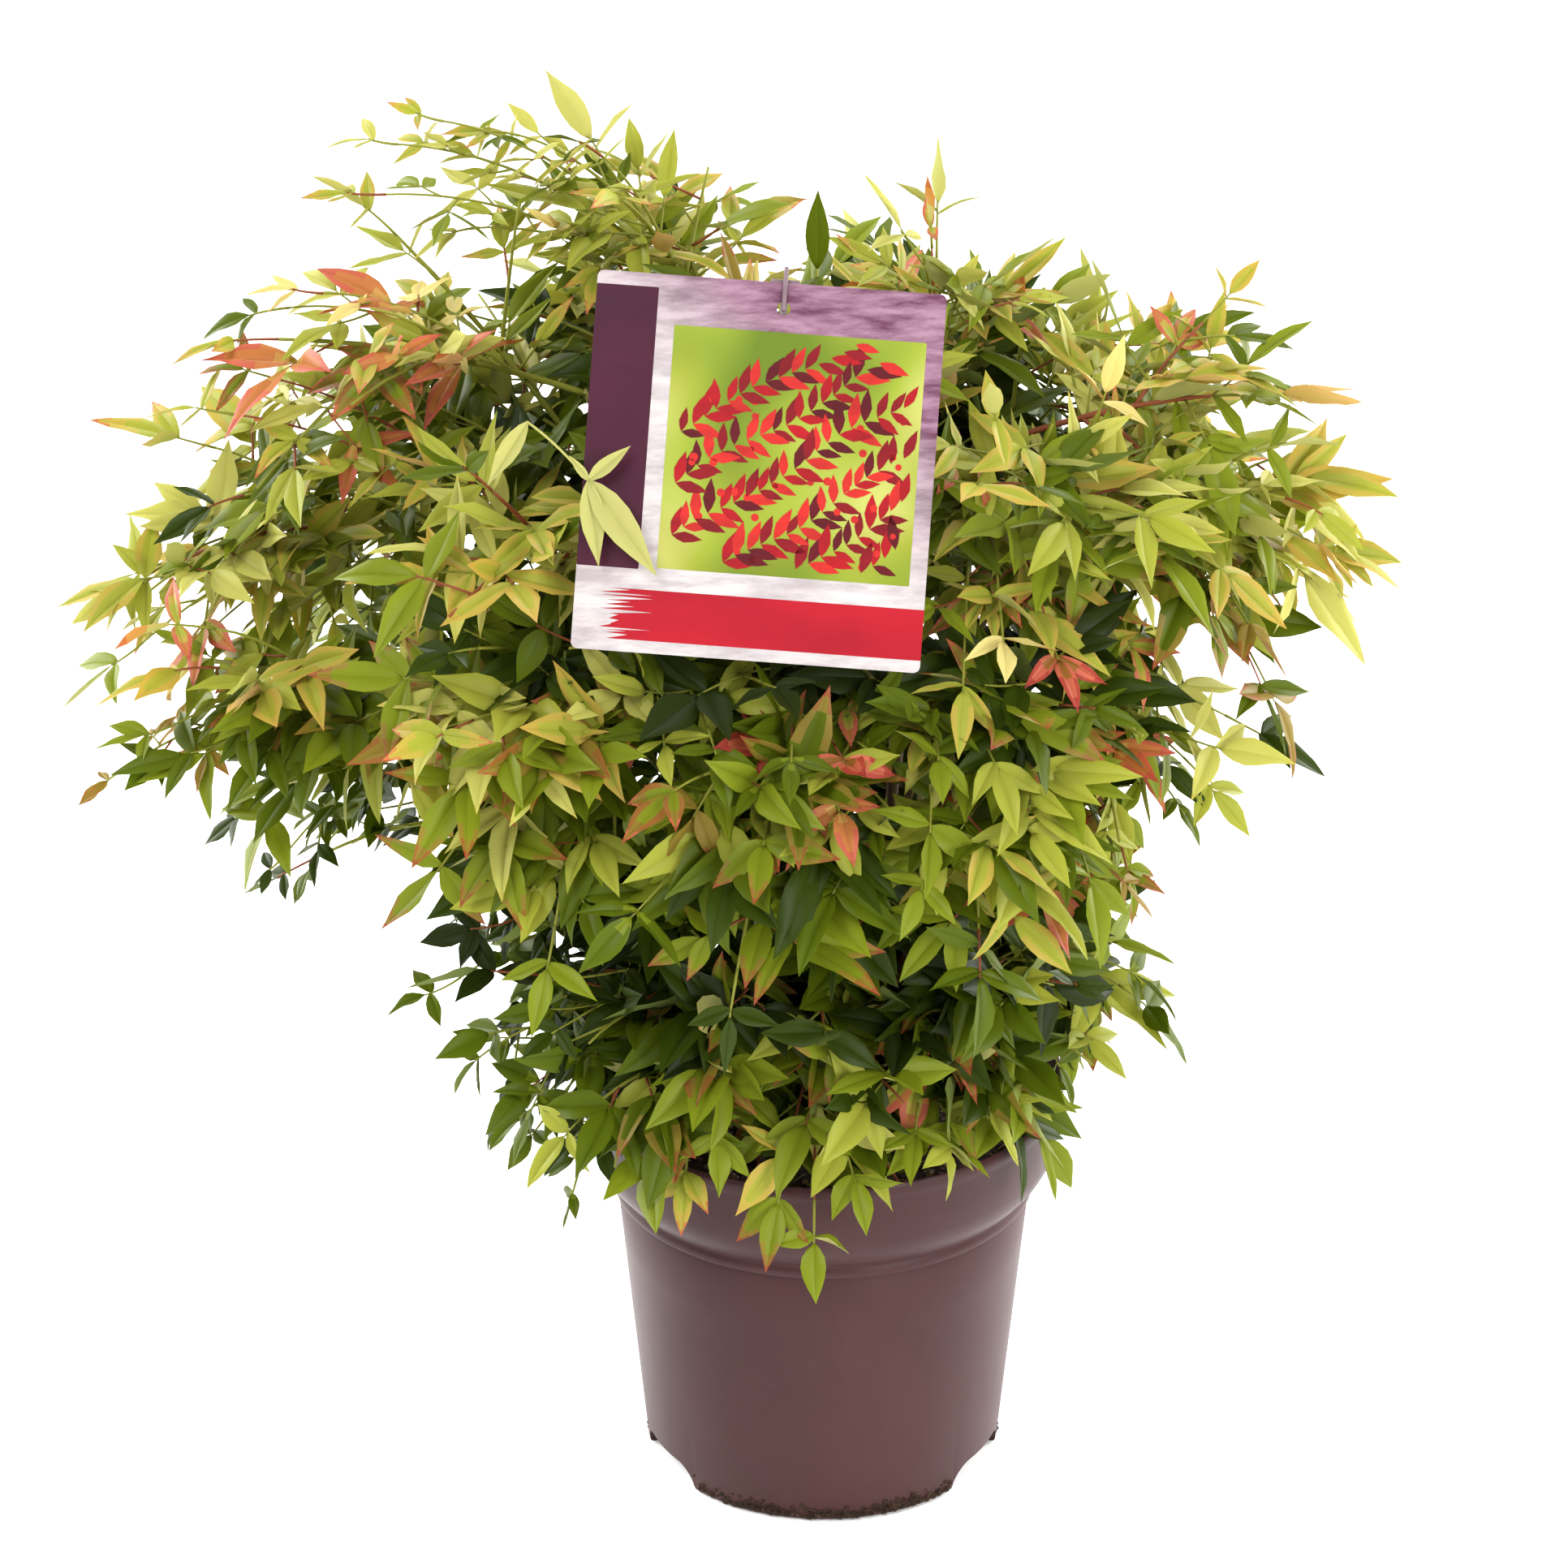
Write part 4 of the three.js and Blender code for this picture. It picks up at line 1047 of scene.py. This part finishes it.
def revolve(name, profile, sides, material, reshaped=None):
    """A closed solid turned about Z. Its profile starts and ends on the axis."""
    radii, heights = np.array(profile, float).T[:, 1:-1, None]
    rings = radii * np.cos(circle(sides)), radii * np.sin(circle(sides)), heights
    points = np.stack(np.broadcast_arrays(*rings), axis=-1)
    if reshaped:
        points = reshaped(points)
    ids, ahead, quads = ring_quads(len(radii), sides)
    ends = [(0, 0, profile[0][1]), (0, 0, profile[-1][1])]
    foot = np.stack([np.full(sides, ids.size), ahead[0], ids[0]], axis=-1)
    top = np.stack([np.full(sides, ids.size + 1), ids[-1], ahead[-1]], axis=-1)
    everything = np.concatenate((points.reshape(-1, 3), ends))
    return build_mesh(name, everything, [quads, np.concatenate((foot, top))], [material])


def evaluated(thing):
    """The mesh that an object's modifiers or its curve make."""
    depsgraph = bpy.context.evaluated_depsgraph_get()
    return bpy.data.meshes.new_from_object(thing.evaluated_get(depsgraph))


def notch_cutter(azimuth):
    """A capsule across the wall, as round at its ends as it is high."""
    flat = NOTCH_HALF - NOTCH_HEIGHT
    outline = []
    for a in np.arange(17) * math.pi / 16:
        x = math.cos(a) * NOTCH_HEIGHT + (flat if a < math.pi / 2 else -flat)
        outline.append((x, math.sin(a) * NOTCH_HEIGHT))
    outline += [(-NOTCH_HALF, -NOTCH_HEIGHT), (NOTCH_HALF, -NOTCH_HEIGHT)]
    out, across = polar(azimuth, 1, 0), polar(azimuth + 90, 1, 0)
    points = [out * radius + across * x + UP * z for radius in NOTCH_RADII for x, z in outline]
    ids, _, quads = ring_quads(2, len(outline))
    return build_mesh("notch", points, [quads, np.array((ids[0][::-1], ids[1]))], [pot_plastic])


pot_plastic = pot_material()
pot = revolve("pot_shell", POT_PROFILE, POT_SIDES, pot_plastic)
cutters = [notch_cutter(azimuth) for azimuth in NOTCH_AZIMUTHS]
for cutter in cutters:
    cut = pot.modifiers.new("notch", "BOOLEAN")
    cut.operation, cut.solver, cut.object = "DIFFERENCE", "EXACT", cutter
notched = evaluated(pot)
pot.modifiers.clear()
pot.data = notched
for cutter in cutters:
    bpy.data.objects.remove(cutter)
pot.data.shade_smooth()
pot.data.set_sharp_from_angle(angle=math.radians(38))
place_piece(pot, "pot", "pot")

# ---- soil ------------------------------------------------------------------------------------
SOIL_SIDES = 150
SOIL_RELIEF = 2.4
SOIL_SIDE = table("84.7 3.4, 87.7 6, 101.7 150, 110.1 163.5, 114.9 175, 115.5 187")
WAVES = [
    (unit(np.array((draw() - 0.5, draw() - 0.5))) * scale, draw() * 6.28, 1 / (1 + 0.35 * i))
    for draw in [seeded(900)]
    for i, scale in enumerate((0.05, 0.11, 0.13, 0.22, 0.27, 0.43, 0.51, 0.8, 0.95))
]
LUMPS, FIBRES, FOOT_CRUMBS, NOTCH_CRUMBS = 620, 150, 700, 16
FOOT_CLUSTERS = (20, 130, 238, 256, 268, 280, 290, 302, 308)


def soil_level(radius):
    """The mean height of the soil's top, which is lower near the wall."""
    return SOIL_TOP - 5 * max(0, (radius - 92) / 23) ** 2


def soil_relief(x, y):
    """The height of the soil's top over its mean."""
    height = sum(size * np.sin(x * way[0] + y * way[1] + turn) for way, turn, size in WAVES) * 0.5
    return SOIL_RELIEF * height


def turn_from(azimuth, other):
    return abs((azimuth - other + 180) % 360 - 180)


def soil_profile():
    side = [
        (r0 + (r1 - r0) * t, z0 + (z1 - z0) * t)
        for (r0, z0), (r1, z1) in zip(SOIL_SIDE, SOIL_SIDE[1:])
        for t in np.arange(0, 1, 1 / max(1, round((z1 - z0) / 3)))
    ]
    top = [(radius, soil_level(radius)) for radius in np.arange(115, 1, -2.5)]
    return [(0, 3.4), *side, *top, (0, SOIL_TOP)]


def roughened(points):
    """Pushes the side in and the top up and down, so that the soil stays inside the pot."""
    x, y, z = points[..., 0], points[..., 1], points[..., 2]
    radius, angle = np.hypot(x, y), np.arctan2(y, x)
    waves = sum(np.sin(angle * n + z * slant) for n, slant in ((23, 0.9), (41, -1.3), (67, 0.4)))
    turns = [turn_from(np.degrees(angle), azimuth) for azimuth in NOTCH_AZIMUTHS]
    hollow = np.clip(3 - np.min(turns, axis=0) / 7, 0, 1) * np.clip((17 - z) / 4, 0, 1)
    side = 0.8 * waves - 2.4 - hollow * np.clip(radius - 70, 0, None)
    top = np.clip((z - 180) / 8, 0, 1)
    scale = 1 + np.where(top < 0.8, side, -0.4) / radius
    return np.stack((x * scale, y * scale, z + top * soil_relief(x, y)), axis=-1)


peat = soil_material()
place_piece(revolve("soil_body", soil_profile(), SOIL_SIDES, peat, roughened), "soil", "soil")

# A ball of twelve points and twenty triangles, for the lumps.
GOLDEN = (1 + math.sqrt(5)) / 2
BALL = np.array([
    unit(np.roll((a, b * GOLDEN, 0), turn)) for turn in range(3) for b in (1, -1) for a in (-1, 1)
])
BALL_FACES = np.array(table("""
    0 11 5, 0 5 1, 0 1 7, 0 7 10, 0 10 11, 1 5 9, 5 11 4, 11 10 2, 10 7 6, 7 1 8, 3 9 4, 3 4 2,
    3 2 6, 3 6 8, 3 8 9, 4 9 5, 2 4 11, 6 2 10, 8 6 7, 9 8 1
"""))


def add_lump(lumps, centre, size, draw, slot=0):
    """A small lump, squashed and dented."""
    shape = [between(draw, *ends) for ends in ((0.6, 1.2), (0.6, 1.2), (0.45, 0.9))]
    dents = np.array([between(draw, 0.75, 1.15) for _ in BALL])[:, None]
    lumps.add(centre + BALL * dents * shape * size, BALL_FACES, slot=slot)


def add_soil_bits():
    """Lumps and fibres on the soil, and crumbs that stick to the pot's foot by its notches."""
    draw = seeded(1200)
    lumps, fibres = Parts(), Parts()
    for _ in range(LUMPS):
        radius, azimuth = 111 * math.sqrt(draw()), draw() * 360
        size = between(draw, 0.9, 3.4)
        place = polar(azimuth, radius, soil_level(radius))
        place[2] += soil_relief(place[0], place[1]) + size * 0.1
        add_lump(lumps, place, size, draw, int(draw() * 2.3))
    for _ in range(FIBRES):
        radius, azimuth = 104 * math.sqrt(draw()), draw() * 360
        place = polar(azimuth, radius, SOIL_TOP + 1.6)
        place[2] += soil_relief(place[0], place[1]) * 0.8
        way = polar(draw() * 360, between(draw, 7, 20), between(draw, -1.5, 4))
        bend = place + way * 0.5 + polar(draw() * 360, 3, between(draw, 0, 4))
        line = Path(place, bend, place + way, 5).points
        fibres.add_tube(line, np.full(6, between(draw, 0.2, 0.5)), 4)
    for _ in range(FOOT_CRUMBS):
        cluster = FOOT_CLUSTERS[int(draw() * len(FOOT_CLUSTERS))]
        azimuth = cluster + 26 * (draw() + draw() + draw() - 1.5)
        height = 2.3 - 2.4 * math.log(1 - 0.95 * draw())
        if min(turn_from(azimuth, notch) for notch in NOTCH_AZIMUTHS) > 17.5:
            place = polar(azimuth, 89.2 + min(height, 3) * 0.27, height)
            add_lump(lumps, place, between(draw, 0.6, 2.1), draw)
    for notch in NOTCH_AZIMUTHS:
        for sign in [-1] * NOTCH_CRUMBS + [1] * NOTCH_CRUMBS:
            azimuth = notch + sign * between(draw, 15.5, 19)
            place = polar(azimuth, between(draw, 86, 90.3), between(draw, 6, 13))
            add_lump(lumps, place, between(draw, 0.5, 1.9), draw)
    bark = bark_material("bark_crumb", (60, 40, 28), (104, 72, 48), (82, 54, 36))
    root = bark_material("root_crumb", (110, 82, 56), (150, 116, 80), (122, 90, 62))
    place_piece(lumps.build("soil_lumps", [peat, bark, root]), "soil")
    place_piece(fibres.build("soil_fibres", [root]), "soil")


add_soil_bits()

# ---- label and its holder --------------------------------------------------------------------
FACE = LABEL_THICKNESS / 2
LABEL_CORNER = 3.0
PRINT_THICKNESS = 0.07
# Left, bottom, right and top of the printed fields.
PICTURE = (-42.0, -46.0, 70.0, 62.0)
PLUM_BAND = (-77.5, -47.0, -50.0, 78.0)
RED_BAND = (-66.0, -78.5, 77.5, -56.0)


def label_plate(name, low, high, material, *lines):
    """A flat plate between two depths in the label's own frame. A second line is a hole."""
    curve = bpy.data.curves.new(name, "CURVE")
    curve.dimensions, curve.fill_mode = "2D", "BOTH"
    curve.extrude = (high - low) / 2 * MM
    for line in lines:
        spline = curve.splines.new("POLY")
        spline.points.add(len(line) - 1)
        for point, (x, y) in zip(spline.points, line):
            point.co = (x * MM, y * MM, 0, 1)
        spline.use_cyclic_u = True
    shape = new_object(name, curve)
    mesh = evaluated(shape)
    bpy.data.objects.remove(shape)
    points = np.empty(len(mesh.vertices) * 3, np.float32)
    mesh.vertices.foreach_get("co", points)
    flat = points.reshape(-1, 3) / MM + (0, 0, (low + high) / 2)
    placed = (LABEL_CENTRE + flat @ LABEL_TURN.T) * MM
    mesh.vertices.foreach_set("co", placed.astype(np.float32).ravel())
    mesh.materials.clear()
    mesh.materials.append(material)
    mesh.update()
    return new_object(name, mesh)


def rounded_rectangle(left, bottom, right, top, corner, steps=6):
    corners = (
        (right - corner, top - corner, 0), (left + corner, top - corner, 90),
        (left + corner, bottom + corner, 180), (right - corner, bottom + corner, 270),
    )
    points = []
    for x, y, turn in corners:
        for k in range(steps + 1):
            a = math.radians(turn + 90 * k / steps)
            points.append((x + corner * math.cos(a), y + corner * math.sin(a)))
    return points


def ragged(left, bottom, right, top, seed):
    """A band whose left end is torn like a brush stroke."""
    draw = seeded(seed)
    edge, height = [], top
    while height > bottom + 1.2:
        reach, drop = 20 * draw() ** 1.6, between(draw, 0.3, 0.7)
        edge += [(left + reach * 0.3, height), (left + 24 - reach, height - drop)]
        height -= between(draw, 0.8, 2.4)
    return [(right, bottom), (right, top)] + edge + [(left + 4, bottom)]


def card_material():
    """Pale card with a wash of mauve brush strokes that fades from its top right corner."""
    look = Look("label_card", (200, 192, 191), 0.36, 0.22)
    strokes = look.noise(34, 6, look.stretched((1, 0.5, 5), (0, 0.75, 0)), 0.65)
    paper = look.ramp(strokes, (0.36, (150, 141, 142)), (0.6, (180, 173, 172)))
    wash = look.ramp(strokes, (0.38, (86, 46, 68)), (0.62, (142, 108, 126)))
    x, z = [look.node("SeparateXYZ", {"Vector": look.place()}, axis) for axis in "XZ"]
    across = look.node("Math", {0: x, 1: 0.7, 2: z}, operation="MULTIPLY_ADD")
    fade = look.spread(across, From_Min=0.55, From_Max=0.66)
    patchy = look.node("Math", {0: fade, 1: look.noise(9, 3)}, operation="ADD")
    mask = look.spread(patchy, From_Min=0.75, From_Max=1.25)
    return look.finish(look.mix(mask, paper, wash), (strokes, 0.3, 0.44))


def ink_material(name, rgb, other, scale=40):
    """A printed colour with brush marks."""
    look = Look("ink_" + name, rgb, 0.34, 0.22)
    marks = look.noise(scale, 5, look.stretched((0.4, 1, 1)))
    return look.finish(look.ramp(marks, (0.35, rgb), (0.7, other)))


def picture_material():
    """A soft garden background in yellow-greens."""
    look = Look("ink_garden", (150, 158, 50), 0.34, 0.22)
    blur, fine = look.noise(13, 1.2), look.noise(34, 1.5)
    light = look.ramp(blur, (0.34, (84, 104, 22)), (0.52, (128, 142, 42)), (0.68, (168, 168, 92)))
    return look.finish(look.patched(light, fine, 0.5, 0.7, 120, (128, 104, 34)))


# A printed leaf's outline, as shares of its length and of half its width.
BLADE = np.array(table("0 0, 0.18 0.6, 0.42 1, 0.7 0.68, 1 0, 0.7 -0.68, 0.42 -1, 0.18 -0.6"))
BLADE_WIDTH = 0.36
GARLANDS = table("""
    -41 12 30 135, -41 -12 33 135, -41 -35 34 130, -18 -45 35 112, 14 -45 36 80, 43 -45 38 44
""")  # foot, way and length
GARLAND_STEP = 6.2
BERRIES = 34


def printed_sprigs():
    """Slanting garlands of small leaves with berries: flat outlines, each with its tone."""
    draw = seeded(77)
    left, bottom, right, top = PICTURE
    shapes = []

    def add_blade(x, y, angle, length, tone):
        along = np.array((math.cos(angle), math.sin(angle)))
        u, v = BLADE.T * [[length], [length * BLADE_WIDTH / 2]]
        outline = (x, y) + np.outer(u, along) + np.outer(v, (-along[1], along[0]))
        if (outline > (left + 1, bottom + 1)).all() and (outline < (right - 1, top - 1)).all():
            shapes.append((outline, tone))

    for i, (x, y, way, length) in enumerate(GARLANDS):
        for k in range(int(length / GARLAND_STEP)):
            angle = math.radians(way + 9 * math.sin(0.5 * k + i) + between(draw, -3, 3))
            x, y = x + GARLAND_STEP * math.cos(angle), y + GARLAND_STEP * math.sin(angle)
            size = between(draw, 11, 16)
            for sign in (1, -1):
                add_blade(x, y, angle + sign * between(draw, 0.55, 1.05), size, int(draw() * 4))
    for _ in range(BERRIES):
        x, y = between(draw, left + 6, right - 6), between(draw, bottom + 5, top - 30)
        r = between(draw, 1.3, 2)
        shapes.append(([(x + r * math.cos(a), y + r * math.sin(a)) for a in circle(12)], 2))
    return shapes


def flat_prints(name, shapes, low, depth, materials):
    """Thin flat shapes joined into one mesh, each a little higher than the last."""
    prints = Parts()
    for i, (outline, tone) in enumerate(shapes):
        high = low + depth * (0.55 + 0.45 * (i % 7) / 6)
        n = len(outline)
        points = [on_label(x, y, level) for level in (low, high) for x, y in outline]
        points += [on_label(*np.mean(outline, axis=0), level) for level in (low, high)]
        ids, ahead, walls = ring_quads(2, n)
        top = np.stack([ids[1], ahead[1], np.full(n, 2 * n + 1)], axis=-1)
        under = np.stack([ahead[0], ids[0], np.full(n, 2 * n)], axis=-1)
        flats = np.stack([top, under], axis=1).reshape(-1, 3)
        prints.add(np.array(points), walls, flats, slot=tone)
    made = prints.build(name, materials)
    made.data.shade_flat()
    return made


def place_label():
    x, y, r = LABEL_HOLE
    hole = [(x + r * math.cos(a), y + r * math.sin(a)) for a in -circle(20)]
    right, top = LABEL_WIDTH / 2, LABEL_HEIGHT / 2
    outline = rounded_rectangle(-right, -top, right, top, LABEL_CORNER)
    card = label_plate("label_card", -FACE, FACE, card_material(), outline, hole)
    place_piece(card, "label", "label")
    plum = ink_material("plum", (60, 16, 36), (50, 12, 30))
    red = ink_material("band", (152, 14, 30), (134, 10, 26))
    for name, ink, line in (
        ("label_plum_band", plum, rounded_rectangle(*PLUM_BAND, 0.6, 2)),
        ("label_picture", picture_material(), rounded_rectangle(*PICTURE, 0.6, 2)),
        ("label_red_band", red, ragged(*RED_BAND, 31)),
    ):
        place_piece(label_plate(name, FACE, FACE + PRINT_THICKNESS, ink, line), "label")
    reds = table("148 12 22, 116 10 20, 178 36 30, 82 8 18")
    tones = [
        ink_material(f"sprig_{i}", rgb, [int(c * 0.8) for c in rgb], 90)
        for i, rgb in enumerate(reds)
    ]
    place_piece(flat_prints("label_sprigs", printed_sprigs(), FACE + 0.05, 0.16, tones), "label")


place_label()

HOLDER_WIDTH, HOLDER_DEPTH = 3.0, 2.2
HOLDER_BAR = (13.0, 2.6)
HOLDER_PRONG = (2.0, 19.5, 1.6)
HOLDER_HEAD = 24.0
HOLDER_FOOT = (-38.0, -60.0)


def eased_block(width, height, depth, x, y, z, ease):
    """The rings of a block with eased edges. x is its middle, and y and z are its low sides."""
    eases = ((ease, 0), (ease * 0.3, ease * 0.3), (0, ease))
    levels = [*eases, *((inset, depth - level) for inset, level in reversed(eases))]
    rings = []
    for inset, level in levels:
        side, low, high = width / 2 - inset, y + inset, y + height - inset
        box = rounded_rectangle(x - side, low, x + side, high, ease, 3)
        rings.append([on_label(px, py, z + level) for px, py in box])
    return np.array(rings)


def holder_piece(material):
    right, up, _ = LABEL_HOLE
    back, front = -FACE - CLEAR - HOLDER_DEPTH, FACE + CLEAR
    foot, edge = up - HOLDER_HEAD, LABEL_HEIGHT / 2
    width, height, depth = HOLDER_PRONG
    rod = Parts()
    top = on_label(right, foot + HOLDER_WIDTH, back + HOLDER_DEPTH / 2)
    bottom = np.array((*HOLDER_FOOT, SOIL_TOP - 6))
    middle = bottom + (top - bottom) * 0.72 - LABEL_TURN[:, 2] * 16
    rod.add_tube(Path(bottom, middle, top, 40).points, np.full(41, HOLDER_WIDTH / 2), 10)
    for block in (
        (HOLDER_WIDTH, edge - foot, HOLDER_DEPTH, right, foot, back, 0.5),
        (*HOLDER_BAR, HOLDER_DEPTH, right, edge - 1, back, 0.6),
        (width, width, front - back, right, up - width / 2, back, 0.3),
        (width, height, depth, right, up - width / 2, front, 0.5),
    ):
        rod.add_rings(eased_block(*block))
    made = rod.build("label_rod", [material])
    made.data.set_sharp_from_angle(angle=math.radians(40))
    return made


rod = Look("rod_plastic", (108, 88, 94), 0.45, 0.35)
mottle = rod.ramp(rod.noise(60, 4), (0.35, (96, 77, 84)), (0.7, (120, 100, 105)))
rod_plastic = rod.finish(mottle, (rod.noise(160, 3), 0.38, 0.58))
place_piece(holder_piece(rod_plastic), "label_holder", "label_holder")

# ---- camera, light and floor -----------------------------------------------------------------
scene = bpy.context.scene
scene.camera = new_object("camera", bpy.data.cameras.new("camera"))
scene.camera.data.lens, scene.camera.data.sensor_width, scene.camera.data.clip_end = 120, 36, 50
scene.camera.location = EYE * MM
scene.camera.rotation_euler = (math.pi / 2 - EYE_PITCH, 0, 0)

for name, place, aim, size, power in (
    # aim is the height of the point on the axis that the light faces
    ("key", (-1.1, -1.8, 2.5), 0.45, 1.3, 72),
    ("fill", (1.4, -1.9, 1.1), 0.35, 1.3, 58),
    ("left", (-1.8, 1.0, 1.0), 0.35, 1.5, 92),
    ("right", (1.8, 1.0, 1.0), 0.35, 1.5, 90),
    ("back", (0.2, 1.8, 2.4), 0.45, 1.4, 60),
):
    light = new_object(name, bpy.data.lights.new(name, "AREA"))
    light.data.shape, light.data.size, light.data.energy = "SQUARE", size, power
    light.location = place
    x, y, z = UP * aim - place
    light.rotation_euler = (math.acos(-z / math.hypot(x, y, z)), 0, math.atan2(y, x) - math.pi / 2)

scene.world = bpy.data.worlds.new("studio")
scene.world.use_nodes = True
backdrop = scene.world.node_tree.nodes["Background"].inputs
backdrop["Color"].default_value = (1, 1, 1, 1)
backdrop["Strength"].default_value = 0.53
scene.view_settings.view_transform = "Standard"

floor_mesh = bpy.data.meshes.new("floor")
floor_mesh.from_pydata([(-6, -6, 0), (6, -6, 0), (6, 6, 0), (-6, 6, 0)], [], [(0, 1, 2, 3)])
floor_mesh.materials.append(Look("floor", (245, 245, 245), 0.9).material)
new_object("floor", floor_mesh)
